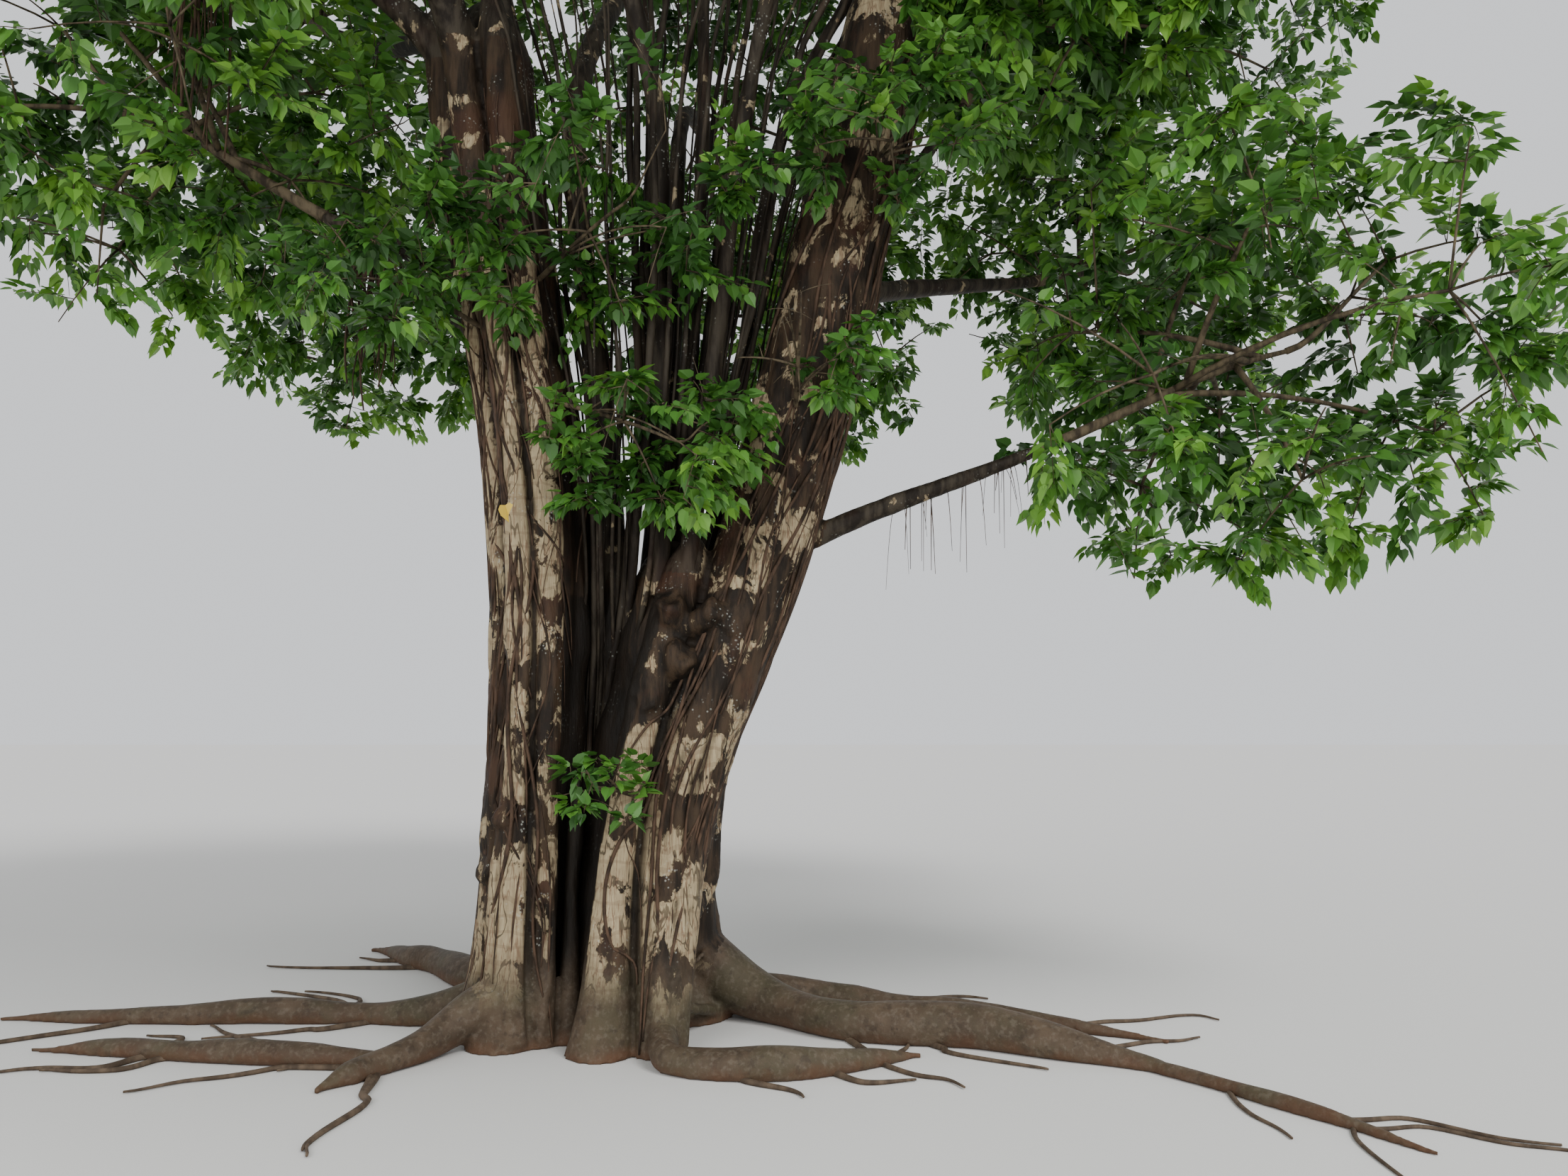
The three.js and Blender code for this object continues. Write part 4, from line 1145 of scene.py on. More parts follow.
def fringe_tubes(random):
    """Fine strands under the outer part of a bough, each drifting one way as the root of its share of the
    fall."""
    top = named_bough(FRINGED_BOUGH, 101)[random.integers(40, 100, FRINGE_STRANDS)]
    places, sides = TUBES["fringe"]
    t = np.linspace(0, 1, places)
    length = random.uniform(0.12, 0.5, FRINGE_STRANDS)
    paths = np.repeat(top[:, None], places, axis=1)
    paths[..., 2] -= length[:, None] * t
    paths[..., :2] += 0.025 * random.normal(0, 1, (FRINGE_STRANDS, 1, 2)) * np.sqrt(t)[:, None]
    radius = random.uniform(0.0015, 0.0035, FRINGE_STRANDS)[:, None] * np.linspace(1, 0.5, places)
    return tube_arrays(paths, radius, sides)


class BANYAN_OT_hanging_roots(bpy.types.Operator):
    """Hangs bunches of aerial roots from the boughs on the left, and a fringe from the long one on the
    right"""

    bl_idname = "banyan.hanging_roots"
    bl_label = "Hanging roots"

    def execute(self, context):
        random = np.random.default_rng(41)
        for name, bunch in HANGING.items():
            tubes = hanging_tubes(*bunch, random)
            tube_piece(name + "_strands", tubes, aerial_root_bark(), [name])
        tube_piece("fringe_strands", fringe_tubes(random), aerial_root_bark())
        return {"FINISHED"}


# Twigs and leaves, by the source's rule carried on


def even_directions(count, turn):
    """Directions spread evenly round a flattened ball by the golden angle."""
    i = np.arange(count)
    z = 1 - (2 * i + 1) / count
    around = np.sqrt(1 - z * z)
    angle = i * GOLDEN_ANGLE + turn
    return np.stack([around * np.cos(angle), around * np.sin(angle), z * FLATTEN], axis=-1)


def pulled_in(mass, targets, margin):
    """Targets drawn towards the mass's centre until they are in its own space, and whether they got
    there."""
    away = targets - mass["centre"]
    placed = targets.copy()
    good = np.zeros(len(targets), bool)
    for shrink in (1, 0.86, 0.72, 0.58):
        trial = mass["centre"] + away * shrink
        fits = in_own_space(trial, mass, margin) & ~good
        placed[fits] = trial[fits]
        good |= fits
    return placed, good


def nearest_start(paths, targets, first):
    """For each target, the closest place on the outer part of any path."""
    places = paths[:, first:].reshape(-1, 3)
    away = np.linalg.norm(targets[:, None] - places, axis=-1)
    return places[np.argmin(away, axis=1)]


def arched(starts, targets, lift, count):
    """Arched paths from starts to targets, raised in the middle by a share of their length."""
    middle = (starts + targets) / 2
    middle[:, 2] += lift * np.linalg.norm(targets - starts, axis=-1)
    t = np.linspace(0, 1, count)[:, None]
    return (1 - t) ** 2 * starts[:, None] + 2 * t * (1 - t) * middle[:, None] + t**2 * targets[:, None]


def leader(mass, stem):
    """The stem's last run: on past its end, bending up, to the outer part of the mass."""
    way = unit(stem[-1] - stem[0]) + np.array([0, 0, 0.35])
    end = mass["centre"] + unit(way) * mass["size"] * LEADER_REACH
    places, _ = TUBES["twig"]
    return bent(stem[-1], stem[-1] + (stem[-1] - stem[-3]) * 0.8, (stem[-1] + end) / 2, end, places)


def in_front_of_stem(places, mass):
    """Whether places would hide the mass's bough from the front: near it in the view along Y, and before
    it."""
    if mass["name"] not in SHOWN_BOUGHS:
        return np.zeros(len(places), bool)
    stem = mass_stem(mass, 30)
    line = np.concatenate([named_bough(SHOWN_BOUGHS[mass["name"]], 40), stem, leader(mass, stem)])
    away = np.linalg.norm((places[:, None] - line)[..., [0, 2]], axis=-1)
    nearest = np.argmin(away, axis=1)
    return (away.min(axis=1) < SHOWN_GAP) & (places[:, 1] < line[nearest, 1] + 0.1)


@functools.lru_cache(maxsize=None)
def branching(name):
    """The branching of one mass: its stem, its twigs, their side twigs and the sprays that bear leaves."""
    mass = masses()[name]
    turn = source_turn(mass["seed"])
    random = np.random.default_rng(mass["seed"])
    stem = mass_stem(mass, TUBES["stem"][0])
    count = mass["habit"]["twigs"]
    targets = mass["centre"] + even_directions(count, turn) * mass["size"] * TWIG_REACH
    share = 0.45 + 0.5 * ((np.arange(count) * 3) % count) / count
    roots = flowing(np.linspace(0, 1, len(stem)), stem, share)
    keep = in_own_space(targets, mass, 0.05) & clear_of_wood(targets, 0.05)
    twigs = arched(roots[keep], targets[keep], 0.12, TUBES["twig"][0])
    twigs = np.concatenate([twigs, leader(mass, stem)[None]])
    count = mass["habit"]["side_twigs"]
    reach = np.resize(SIDE_TWIG_REACH, count) * random.uniform(0.9, 1.05, count)
    targets = mass["centre"] + even_directions(count, turn + 1) * (mass["size"] * reach)[:, None]
    targets, keep = pulled_in(mass, targets, 0.08)
    targets = targets[keep & clear_of_wood(targets, 0.06)]
    upper_stem = stem[np.linspace(5, len(stem) - 1, TUBES["twig"][0]).astype(int)]
    starts = nearest_start(np.concatenate([twigs, upper_stem[None]]), targets, 2)
    side_twigs = arched(starts, targets, 0.10, TUBES["side_twig"][0])
    sprays = spray_paths(mass, side_twigs, turn, random)
    return dict(stem=stem, twigs=twigs, side_twigs=side_twigs, sprays=sprays)


def spray_paths(mass, side_twigs, turn, random):
    """The leaf-bearing ends: even targets through the whole mass, thinned by noise so that sky shows."""
    wanted = sizes().sprays_per_mass
    if mass["is_shoot"]:
        wanted = int(sizes().sprays_per_shoot * mass["size"] ** 2 * SHOOT_DENSITY.get(mass["name"], 1))
    reach = np.resize(SPRAY_REACH, wanted) * random.uniform(0.95, 1.02, wanted)
    targets = mass["centre"] + even_directions(wanted, turn + 2) * (mass["size"] * reach)[:, None]
    targets += random.normal(0, 0.05 * mass["size"], targets.shape)
    targets, keep = pulled_in(mass, targets, 0.03)
    keep &= clear_of_wood(targets, mass["habit"]["wood_gap"]) & within_reach(targets, 0.12)
    keep &= ~in_front_of_stem(targets, mass)
    keep &= lattice_noise(targets * 0.9, 51) + 0.4 * lattice_noise(targets * 2.1, 52) > -0.55
    if mass["is_shoot"]:
        keep &= lattice_noise(targets * 3.1, 53) > -0.15
    targets = targets[keep]
    starts = nearest_start(side_twigs, targets, 1)
    near = np.linalg.norm(targets - starts, axis=-1) < mass["habit"]["longest_spray"]
    return arched(starts[near], targets[near], 0.08, TUBES["spray"][0])


def leaf_shape(fine):
    """A heart-shaped leaf of length one with a drip tip, as (across, along, up) places and triangles. The
    blade folds up along its midrib and curls down to its tip."""
    if fine:
        edge = [(0.24, -0.02), (0.40, 0.20), (0.36, 0.54), (0.12, 0.86)]
    else:
        edge = [(0.37, 0.14), (0.32, 0.62)]
    flat = [(0, 0.04), (0, 1.08)] + edge + [(-x, y) for x, y in edge]
    across, along = np.array(flat).T
    up = 0.30 * np.abs(across) - 0.16 * along**2
    right = [*range(2, 2 + len(edge)), 1]
    left = [*range(2 + len(edge), 2 + 2 * len(edge)), 1]
    triangles = [(0, a, b) for a, b in zip(right, right[1:])] + [(0, b, a) for a, b in zip(left, left[1:])]
    return np.stack([across, along, up], axis=-1), np.array(triangles)


def spray_leaves(paths, count, random):
    """Leaves along sprays, in two ranks: each stands out to one side on its stalk, in turn left and right,
    lies nearly level and hangs by its own weight. Returns their places, their lengthwise and upward
    directions, their lengths, and the spray that each is on."""
    sprays = len(paths)
    t = np.linspace(0.12, 1, count)
    share = np.linspace(0, 1, paths.shape[1])
    places = flowing(share, paths.transpose(1, 0, 2).reshape(paths.shape[1], -1), t)
    places = places.reshape(count, sprays, 3).transpose(1, 0, 2)
    heading = unit(paths[:, -1] - paths[:, 0])[:, None]
    across = unit(np.cross(heading, np.array([0, 0, 1.0])))
    other = np.cross(across, heading)
    rank = np.where(np.arange(count) % 2 == 0, 0.0, np.pi)
    angle = rank + random.normal(0, 0.55, (sprays, count))
    out = across * np.cos(angle)[..., None] + other * np.sin(angle)[..., None]
    forward = (0.45 + 1.1 * t**4)[None, :, None]
    droop = np.array([0, 0, -0.36]) * random.uniform(0.3, 1.8, (sprays, 1, 1))
    along = unit(out + heading * forward + droop + random.normal(0, 0.2, out.shape))
    facing = unit(np.array([0, 0, 1.0]) + 0.25 * out + random.normal(0, 0.3, out.shape))
    length = sizes().leaf_length * random.uniform(0.6, 1.1, (sprays, count))
    places = places + 0.32 * length[..., None] * out
    owner = np.repeat(np.arange(sprays), count)
    return places.reshape(-1, 3), along.reshape(-1, 3), facing.reshape(-1, 3), length.ravel(), owner


def leaf_arrays(places, along, facing, length, fine):
    """Every leaf's vertices and triangles: the leaf shape carried to each place, turned and sized."""
    shape, triangles = leaf_shape(fine)
    side = unit(np.cross(along, facing))
    axes = (side, along, np.cross(side, along))
    spread = sum(shape[:, k, None] * axis[:, None] for k, axis in enumerate(axes))
    vertices = places[:, None] + length[:, None, None] * spread
    shift = (np.arange(len(places)) * len(shape))[:, None, None]
    return vertices.reshape(-1, 3), (triangles + shift).reshape(-1, 3)


# Which masses share a piece of leaves or twigs, and whether their leaves have the finer outline
CROWN_PIECES = {
    "top": (["foliage_top", "foliage_upper_1", "foliage_upper_2"], False),
    "upper": (["foliage_upper_3", "foliage_upper_4", "foliage_upper_5"], False),
    "front": (["foliage_middle_1", "foliage_middle_2", "foliage_middle_3", "foliage_middle_7"], False),
    "back": (
        ["foliage_middle_4", "foliage_middle_5", "foliage_middle_6", "foliage_low_back_left",
         "foliage_low_back", "foliage_low_back_right"],
        False,
    ),
    "low": (["foliage_low_left", "foliage_low_right", "foliage_inner_right"], True),
    "trunk": (list(SHOOTS), True),
}
LEAF_SHADES = 6


def mass_twigs(name):
    """The tubes of one mass: its stem, twigs, side twigs and sprays, each thinner than the last."""
    mass = masses()[name]
    limbs = branching(name)
    thick = mass["stem_radius"]
    thin = mass["habit"]["twig_radius"]
    return [
        tapered(limbs["stem"][None], thick, thick * STEM_TAPER, TUBES["stem"][1]),
        tapered(limbs["twigs"], thin, thin * 0.45, TUBES["twig"][1]),
        tapered(limbs["side_twigs"], thin * 0.42, thin * 0.2, TUBES["side_twig"][1]),
        tapered(limbs["sprays"], *SPRAY_RADII, TUBES["spray"][1]),
    ]


class BANYAN_OT_twigs(bpy.types.Operator):
    """Grows the stems, twigs and side twigs of every mass"""

    bl_idname = "banyan.twigs"
    bl_label = "Twigs"

    def execute(self, context):
        for piece, (names, _) in CROWN_PIECES.items():
            tubes = joined([part for name in names for part in mass_twigs(name)])
            tube_piece(f"twigs_{piece}", tubes, twig_bark(), names)
        return {"FINISHED"}


def tapered(paths, thick, thin, sides):
    """Tubes round paths that taper evenly."""
    radii = np.broadcast_to(np.linspace(thick, thin, paths.shape[1]), paths.shape[:2])
    return tube_arrays(paths, radii, sides)


def mass_leaves(name, fine):
    """The leaves of one mass: their vertices, their triangles and each triangle's shade."""
    mass = masses()[name]
    random = np.random.default_rng(mass["seed"] + 1)
    paths = branching(name)["sprays"]
    count = sizes().leaves_per_shoot_spray if mass["is_shoot"] else sizes().leaves_per_spray
    places, along, facing, length, owner = spray_leaves(paths, count, random)
    length = length * mass["habit"]["leaf_share"]
    vertices, triangles = leaf_arrays(places, along, facing, length, fine)
    shade = leaf_shade_numbers(mass, paths, owner, random)
    return vertices, triangles, np.repeat(shade, len(triangles) // len(places))


class BANYAN_OT_leaves(bpy.types.Operator):
    """Hangs the leaves on every spray, coloured spray by spray"""

    bl_idname = "banyan.leaves"
    bl_label = "Leaves"

    def execute(self, context):
        shades = leaf_shades()
        for piece, (names, fine) in CROWN_PIECES.items():
            vertices, triangles, shade = zip(*(mass_leaves(name, fine) for name in names))
            starts = np.cumsum([0] + [len(part) for part in vertices])
            triangles = np.concatenate([part + start for part, start in zip(triangles, starts)])
            name = f"leaves_{piece}"
            mesh = make_mesh(name, np.concatenate(vertices), (), triangles, smooth=False)
            add_piece(name, mesh, shades, names)
            mesh.polygons.foreach_set("material_index", np.concatenate(shade).astype(np.int32))
        return {"FINISHED"}


class BANYAN_OT_yellow_leaf(bpy.types.Operator):
    """Catches one yellow leaf on the left stem"""

    bl_idname = "banyan.yellow_leaf"
    bl_label = "Yellow leaf"

    def execute(self, context):
        angle, z, length = (np.array([value]) for value in YELLOW_LEAF)
        core, _ = column_at(CORES["left"], z)
        out = np.stack([np.cos(angle), np.sin(angle), 0 * z], axis=-1)
        reach = wood_reach("left", z, angle) + 0.03
        place = np.concatenate([core, z[:, None]], axis=-1) + out * reach[:, None]
        along = unit(np.array([[0.35, -0.1, -1.0]]))
        vertices, triangles = leaf_arrays(place, along, unit(out + [0.4, 0, 0.5]), length, fine=True)
        mesh = make_mesh("yellow_leaf", vertices, (), triangles, smooth=False)
        add_piece("yellow_leaf", mesh, [plain_material("Yellow leaf", YELLOW, 0.5)])
        return {"FINISHED"}


def leaf_shade_numbers(mass, paths, owner, random):
    """A shade for each leaf: its spray's, or the next one to it. A spray's shade is painted light towards
    the outside of its mass and painted shade deeper within, with noise and chance on top; tufts on the
    trunk are painted a step darker, as shade under the crown."""
    tips = paths[:, -1]
    out = measure(tips, mass["centre"]) / mass["size"]
    # Painted light and shade: leaves at the outside of a mass are lighter, those within deeper
    light = 2.6 * out + 0.6 + 0.8 * lattice_noise(tips * 1.3, 61) + random.normal(0, 0.9, len(tips))
    if mass["is_shoot"]:
        # Painted shade: tufts on the trunk, under the crown, are darker
        light -= 0.7
    own = light[owner] + random.choice([-1, 0, 0, 1], len(owner))
    return np.clip(np.round(own), 0, LEAF_SHADES - 1).astype(int)


# Materials


# Colours that a user has no need to change
RUST = (0.095, 0.038, 0.022, 1)
CREAM_SHADE = (0.27, 0.21, 0.128, 1)
CREAM_CRACK = (0.20, 0.13, 0.08, 1)
CREAM_RING = (0.15, 0.095, 0.06, 1)
LICHEN = (0.42, 0.43, 0.38, 1)
# Near black, for painted shade in the flutes, seams and hollows
PAINTED_SHADE = (0.010, 0.008, 0.006, 1)
SOIL = (0.115, 0.055, 0.030, 1)
YELLOW = (0.62, 0.42, 0.04, 1)
FLOOR = (0.62, 0.61, 0.59, 1)
SKY = (0.95, 0.97, 1.0, 1)

# What the fig bark's node group takes and gives
# One input is painted shade, from 0 to 1, that darkens the bark
BARK_INPUTS = dict(
    Place="Vector", Dark="Color", Brown="Color", Cream="Color", Pale="Float", Damp="Float", Lichen="Float",
    Rust="Float",
)
BARK_OUTPUTS = dict(Colour="Color", Roughness="Float", Height="Float")

# Moss, pale flecks and pits on the bark near the ground: the noise's scale, low, high and detail, the share
# that it covers at most, and the colour
FOOT_MOTTLES = (
    (2.7, 0.46, 0.66, 5, 0.5, (0.058, 0.056, 0.032, 1)),
    (42, 0.48, 0.68, 6, 0.28, (0.175, 0.150, 0.115, 1)),
    (19, 0.54, 0.66, 8, 0.5, (0.034, 0.024, 0.017, 1)),
)


def feed(tree, socket, value):
    """Links an output into a socket, or sets the socket to a value."""
    if isinstance(value, bpy.types.NodeSocket):
        tree.links.new(value, socket)
    else:
        socket.default_value = value


def new_material(name):
    """A material with one Principled shader."""
    material = bpy.data.materials.new(name)
    material.use_nodes = True
    return material, material.node_tree, material.node_tree.nodes["Principled BSDF"]


def plain_material(name, colour, roughness, shine=0.5):
    """A material of one colour."""
    material, _, shader = new_material(name)
    shader.inputs["Base Color"].default_value = colour
    shader.inputs["Roughness"].default_value = roughness
    shader.inputs["Specular IOR Level"].default_value = shine
    return material


def add_node(tree, kind, inputs=(), **settings):
    """A node with its settings, and its inputs set to values or linked from outputs."""
    node = tree.nodes.new(kind)
    for key, value in settings.items():
        setattr(node, key, value)
    for key, value in dict(inputs).items():
        feed(tree, node.inputs[key], value)
    return node


def blend_colours(tree, share, low, high):
    """Mixes two colours by a share."""
    return add_node(tree, "ShaderNodeMix", {0: share, 6: low, 7: high}, data_type="RGBA").outputs[2]


def noise_value(tree, place, scale, detail, roughness=0.5, distortion=0.0):
    """Noise from 0 to 1."""
    inputs = {
        "Vector": place, "Scale": scale, "Detail": detail, "Roughness": roughness, "Distortion": distortion,
    }
    return add_node(tree, "ShaderNodeTexNoise", inputs).outputs["Fac"]


def noise_mask(tree, place, scale, low, high, detail=5):
    """Noise as a mask that rises smoothly from 0 at low to 1 at high."""
    return smooth_mask(tree, noise_value(tree, place, scale, detail, 0.6), low, high)


def smooth_mask(tree, value, low, high):
    """A value as a mask that rises smoothly from 0 at low to 1 at high."""
    inputs = {"Value": value, "From Min": low, "From Max": high}
    return add_node(tree, "ShaderNodeMapRange", inputs, interpolation_type="SMOOTHSTEP").outputs["Result"]


def off_lines(tree, noise, low, high):
    """A mask that is 0 along the winding lines where noise passes one half, and 1 away from them."""
    aside = arithmetic(tree, "ABSOLUTE", arithmetic(tree, "SUBTRACT", noise, 0.5), 0.0)
    return smooth_mask(tree, aside, low, high)


def stretched(tree, place, across, up):
    """Places scaled across and up, to draw a pattern out."""
    inputs = {0: place, 1: (across, across, up)}
    return add_node(tree, "ShaderNodeVectorMath", inputs, operation="MULTIPLY").outputs["Vector"]


def arithmetic(tree, operation, a, b):
    """One sum of two values or outputs."""
    return add_node(tree, "ShaderNodeMath", {0: a, 1: b}, operation=operation).outputs["Value"]


def sums(tree):
    """Functions that multiply, add, subtract and take the larger of two values or outputs."""
    kinds = ("MULTIPLY", "ADD", "SUBTRACT", "MAXIMUM")
    return [functools.partial(arithmetic, tree, kind) for kind in kinds]


@functools.lru_cache(maxsize=None)
def fig_bark_group():
    """Fig bark. Dark and brown streaks with rust carry cream patches, where broad and banded noise and the
    pale share together pass a line. Cracks, veins and growth rings darken the cream, and lichen spots lie
    over all. Painted shade, given as a share from 0 to 1, hides the cream and darkens the bark nearly to
    black. Patches stand a little high."""
    group = bpy.data.node_groups.new("Fig bark", "ShaderNodeTree")
    for way, sockets in (("INPUT", BARK_INPUTS), ("OUTPUT", BARK_OUTPUTS)):
        for name, kind in sockets.items():
            group.interface.new_socket(name, in_out=way, socket_type="NodeSocket" + kind)
    given = add_node(group, "NodeGroupInput").outputs
    place = given["Place"]
    times, plus, less, most = sums(group)
    blend = functools.partial(blend_colours, group)
    noise = functools.partial(noise_value, group)
    mask = functools.partial(noise_mask, group)
    grain = functools.partial(stretched, group, place)
    streaks = mask(grain(1, 0.16), 16, 0.40, 0.62, detail=8)
    fine = mask(grain(1, 0.16), 60, 0.3, 0.7)
    rust = times(mask(place, 2.6, 0.50, 0.68), given["Rust"])
    wood = blend(rust, blend(streaks, given["Dark"], given["Brown"]), RUST)
    broad = times(noise(grain(1, 0.62), 7.5, 9, 0.66, 0.5), 0.62)
    banded = times(noise(grain(0.9, 2.2), 1.9, 4), 0.38)
    lift = times(less(given["Pale"], 0.5), 0.30)
    patch = smooth_mask(group, plus(plus(broad, banded), lift), 0.525, 0.545)
    veins = off_lines(group, noise(grain(1, 0.34), 9, 3, 0.5, 0.6), 0.004, 0.018)
    cracks = off_lines(group, noise(grain(1, 0.08), 34, 4), 0.0, 0.035)
    wave = {"Vector": place, "Scale": 4.2, "Distortion": 5.0, "Detail": 3.0, "Detail Scale": 1.4}
    rings = add_node(group, "ShaderNodeTexWave", wave, bands_direction="Z").outputs["Fac"]
    rings = smooth_mask(group, rings, 0.0, 0.14)
    cream = blend(cracks, CREAM_CRACK, blend(fine, CREAM_SHADE, given["Cream"]))
    cream = blend(most(rings, 0.7), CREAM_RING, cream)
    # Painted shade: cream patches are hidden where the bark is shaded
    worn_outside_shade = times(times(patch, most(veins, 0.3)), less(1.0, given["Damp"]))
    spots = add_node(group, "ShaderNodeTexVoronoi", {"Vector": place, "Scale": 55.0}).outputs["Distance"]
    spots = less(1.0, smooth_mask(group, spots, 0.16, 0.34))
    lichen = times(times(spots, mask(place, 5.5, 0.56, 0.64)), given["Lichen"])
    colour = blend(lichen, blend(worn_outside_shade, wood, cream), LICHEN)
    # Painted shade: the bark is darkened nearly to black where it is shaded
    colour = blend(times(given["Damp"], 0.85), colour, PAINTED_SHADE)
    rough = plus(0.62, times(worn_outside_shade, 0.25))
    height = plus(times(worn_outside_shade, 0.6), times(fine, 0.4))
    add_node(group, "NodeGroupOutput", {"Colour": colour, "Roughness": rough, "Height": height})
    return group


def bark_nodes(tree, **given):
    """The fig bark's group in a material, on Object coordinates. Returns the coordinates and the group's
    outputs."""
    place = add_node(tree, "ShaderNodeTexCoord").outputs["Object"]
    inputs = {"Place": place, "Dark": colours().bark_dark, "Cream": colours().bark_cream, **given}
    return place, add_node(tree, "ShaderNodeGroup", inputs, node_tree=fig_bark_group()).outputs


def vertex_number(tree, name):
    """A piece's own number for each vertex."""
    return add_node(tree, "ShaderNodeAttribute", attribute_name=name).outputs["Fac"]


def dress(tree, shader, colour, roughness, shine, bump):
    """Feeds a shader with its colour, its roughness, its shine and a bump of (height, distance,
    strength)."""
    bump = add_node(tree, "ShaderNodeBump", dict(zip(("Height", "Distance", "Strength"), bump)))
    inputs = {"Base Color": colour, "Roughness": roughness, "Specular IOR Level": shine}
    for key, value in {**inputs, "Normal": bump.outputs["Normal"]}.items():
        feed(tree, shader.inputs[key], value)


@functools.lru_cache(maxsize=None)
def fluted_bark():
    """The trunk, stems and roots: fig bark above, and near the ground smooth grey-brown bark with moss,
    flecks and pits, wrinkled instead of patched, with soil at its very foot."""
    material, tree, shader = new_material("Fluted bark")
    times, plus, less, most = sums(tree)
    mask = functools.partial(noise_mask, tree)
    foot = vertex_number(tree, "foot")
    # Painted shade: the flutes, the seams between columns and the hollows of the skin are darkened as if
    # shaded
    flute_shade = most(vertex_number(tree, "hollow"), times(vertex_number(tree, "cavity"), 0.9))
    pale = vertex_number(tree, "pale")
    place, bark = bark_nodes(tree, Brown=colours().bark_brown, Rust=0.3, Pale=pale, Damp=flute_shade, Lichen=0.5)
    mottle = mask(place, 7, 0.3, 0.7, detail=9)
    *light, _ = colours().bark_foot
    smooth = blend_colours(tree, mottle, (*(0.55 * value for value in light), 1), (*light, 1))
    for scale, low, high, detail, share, colour in FOOT_MOTTLES:
        covered = times(mask(place, scale, low, high, detail=detail), share)
        smooth = blend_colours(tree, covered, smooth, colour)
    above_ground = add_node(tree, "ShaderNodeSeparateXYZ", {"Vector": place}).outputs["Z"]
    ragged = plus(above_ground, times(mottle, 0.06))
    soil = less(0.6, times(smooth_mask(tree, ragged, 0.015, 0.10), 0.6))
    colour = blend_colours(tree, foot, bark["Colour"], blend_colours(tree, soil, smooth, SOIL))
    wrinkles = times(mask(place, 24, 0.25, 0.75, detail=9), 0.45)
    height = plus(times(bark["Height"], less(1.0, times(foot, 0.85))), times(wrinkles, foot))
    dress(tree, shader, colour, bark["Roughness"], 0.15, (height, 0.006, 0.8))
    return material


@functools.lru_cache(maxsize=None)
def limb_bark():
    """Boughs and poles: dark streaked bark with a little cream and lichen."""
    material, tree, shader = new_material("Limb bark")
    # A little painted shade over all the limbs
    _, bark = bark_nodes(tree, Brown=colours().bark_limb, Rust=0.12, Pale=0.30, Damp=0.05, Lichen=0.4)
    dress(tree, shader, bark["Colour"], bark["Roughness"], 0.15, (bark["Height"], 0.004, 0.7))
    return material


@functools.lru_cache(maxsize=None)
def streaked_bark(name, low, high, scale):
    """Thin wood in two streaked colours."""
    material, tree, shader = new_material(name)
    place = add_node(tree, "ShaderNodeTexCoord").outputs["Object"]
    streaks = noise_mask(tree, stretched(tree, place, 1, 0.3), scale, 0.35, 0.65, detail=6)
    dress(tree, shader, blend_colours(tree, streaks, low, high), 0.75, 0.2, (streaks, 0.002, 0.5))
    return material


def aerial_root_bark():
    """Reddish brown bark of roots in the air."""
    return streaked_bark("Aerial root bark", (0.022, 0.014, 0.009, 1), (0.085, 0.050, 0.031, 1), 26)


def ground_root_bark():
    """Greyer bark of thin roots on the ground."""
    return streaked_bark("Ground root bark", (0.052, 0.036, 0.024, 1), (0.11, 0.078, 0.052, 1), 18)


def twig_bark():
    """Grey-brown bark of twigs."""
    return streaked_bark("Twig bark", (0.035, 0.026, 0.017, 1), (0.13, 0.10, 0.06, 1), 22)


def leaf_shades():
    """Leaf greens from the deepest, for painted shade, to the freshest, for painted light, each one plain
    colour: a smooth curve through the three that a user sets."""
    chosen = colours()
    knots = [tuple(chosen.leaf_shaded), tuple(chosen.leaf_mid), tuple(chosen.leaf_lit)]
    greens = flowing([0, 0.55, 1], knots, np.linspace(0, 1, LEAF_SHADES))
    greens = np.clip(greens, 0.005, 1).tolist()
    return [plain_material(f"Leaf shade {i + 1}", green, 0.42, 0.4) for i, green in enumerate(greens)]


# Stage


# Lights: where each softbox stands, what it faces, its size and its power, and the sun's strength, spread
# and turn
SOFTBOXES = {
    "Front softbox": ((-4.5, -10.0, 6.0), (0.2, 0, 3.0), 6.0, 620),
    "Side fill": ((7.0, -9.0, 4.5), (0.5, 0, 4.0), 5.0, 300),
}
SUN_STRENGTH = 2.2
SUN_SPREAD = 25
SUN_TURN = (38, 14, 25)
FLOOR_REACH = 60
FLOOR_DROP = 0.002


class BANYAN_OT_stage(bpy.types.Operator):
    """Lays the floor and sets the lights and the camera"""

    bl_idname = "banyan.stage"
    bl_label = "Floor, lights and camera"

    def execute(self, context):
        corners = [(-1, -1), (1, -1), (1, 1), (-1, 1)]
        corners = np.array([(x * FLOOR_REACH, y * FLOOR_REACH, -FLOOR_DROP) for x, y in corners])
        floor = bpy.data.objects.new("floor", make_mesh("floor", corners, [[0, 1, 2, 3]]))
        context.scene.collection.objects.link(floor)
        floor.data.materials.append(plain_material("Pale floor", FLOOR, 0.9))
        world = bpy.data.worlds.new("Soft sky")
        world.use_nodes = True
        world.node_tree.nodes["Background"].inputs["Color"].default_value = SKY
        world.node_tree.nodes["Background"].inputs["Strength"].default_value = 1.0
        context.scene.world = world
        for name, setting in SOFTBOXES.items():
            add_softbox(name, *setting)
        sun = bpy.data.objects.new("High sun", bpy.data.lights.new("High sun", "SUN"))
        sun.data.energy = SUN_STRENGTH
        sun.data.angle = math.radians(SUN_SPREAD)
        sun.rotation_euler = [math.radians(turn) for turn in SUN_TURN]
        context.scene.collection.objects.link(sun)
        set_camera(context.scene)
        return {"FINISHED"}


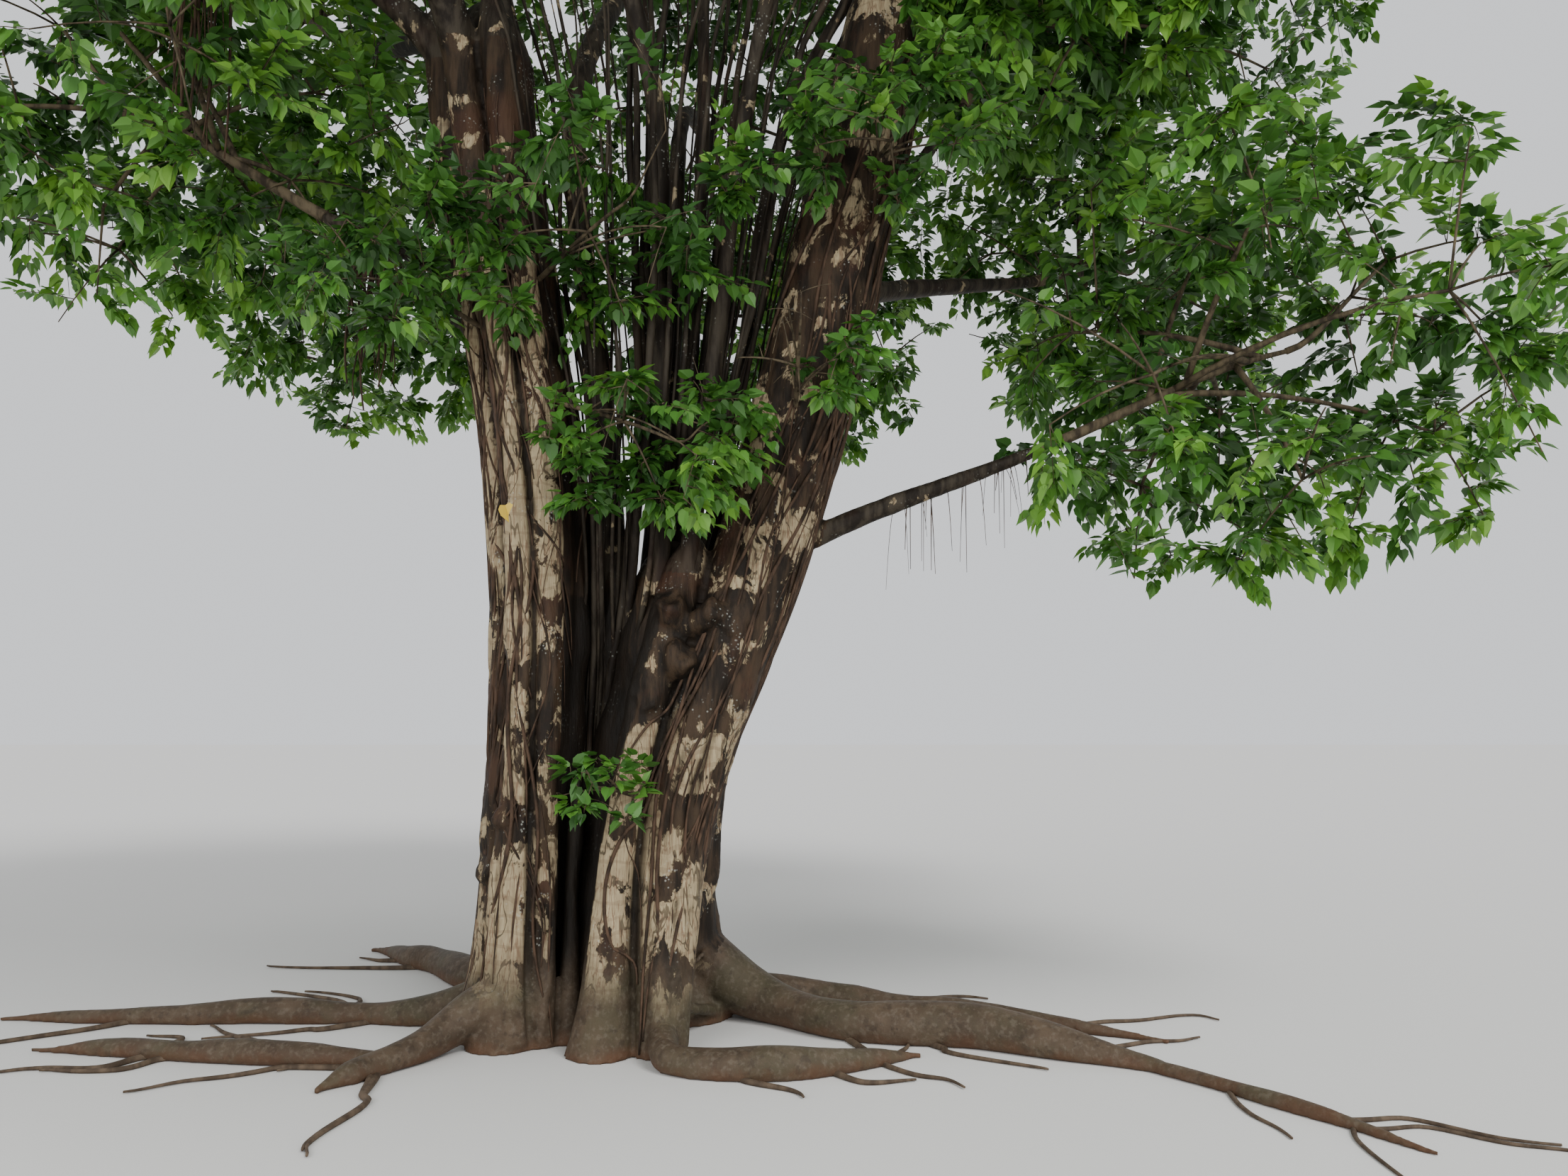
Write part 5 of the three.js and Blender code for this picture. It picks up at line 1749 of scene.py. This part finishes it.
def add_softbox(name, place, aim, size, watts):
    """A soft square light that faces a point."""
    light = bpy.data.objects.new(name, bpy.data.lights.new(name, "AREA"))
    light.data.energy = watts
    light.data.size = size
    light.location = place
    x, y, z = np.subtract(aim, place)
    light.rotation_euler = (math.pi / 2 + math.atan2(z, math.hypot(x, y)), 0, math.atan2(y, x) - math.pi / 2)
    bpy.context.scene.collection.objects.link(light)


def set_camera(scene):
    """The photograph's camera, held level at eye height and tilted up a little."""
    camera = bpy.data.objects.new("camera", bpy.data.cameras.new("camera"))
    camera.data.sensor_width = SENSOR_MM
    camera.data.lens = FOCAL_PIXELS / PHOTO_WIDTH * SENSOR_MM
    camera.data.clip_end = CAMERA_FAR
    camera.location = CAMERA_PLACE
    camera.rotation_euler = (math.radians(90 + CAMERA_PITCH), 0, 0)
    scene.collection.objects.link(camera)
    scene.camera = camera


class BANYAN_PT_panel(bpy.types.Panel):
    """Buttons that build the tree, with its sizes and colours"""

    bl_idname = "BANYAN_PT_panel"
    bl_label = "Banyan tree"
    bl_space_type = "VIEW_3D"
    bl_region_type = "UI"
    bl_category = "Banyan"

    def draw(self, context):
        for step in STEPS:
            self.layout.operator(step.bl_idname)
        for group in (context.scene.banyan_sizes, context.scene.banyan_colours):
            for key in group.bl_rna.properties.keys():
                if key not in ("rna_type", "name"):
                    self.layout.prop(group, key)


STEPS = (
    BANYAN_OT_fused_wood,
    BANYAN_OT_poles,
    BANYAN_OT_clinging_roots,
    BANYAN_OT_hanging_roots,
    BANYAN_OT_twigs,
    BANYAN_OT_leaves,
    BANYAN_OT_yellow_leaf,
    BANYAN_OT_stage,
)
CLASSES = (TreeSizes, TreeColours, *STEPS, BANYAN_PT_panel)


def register():
    """Registers the add-on's classes and its settings."""
    for item in CLASSES:
        bpy.utils.register_class(item)
    bpy.types.Scene.banyan_sizes = bpy.props.PointerProperty(type=TreeSizes)
    bpy.types.Scene.banyan_colours = bpy.props.PointerProperty(type=TreeColours)


def unregister():
    """Takes the settings and the classes away again."""
    del bpy.types.Scene.banyan_sizes
    del bpy.types.Scene.banyan_colours
    for item in reversed(CLASSES):
        bpy.utils.unregister_class(item)


def main():
    """Builds the tree operator by operator."""
    register()
    for step in STEPS:
        area, action = step.bl_idname.split(".")
        getattr(getattr(bpy.ops, area), action)()


if __name__ == "__main__":
    main()
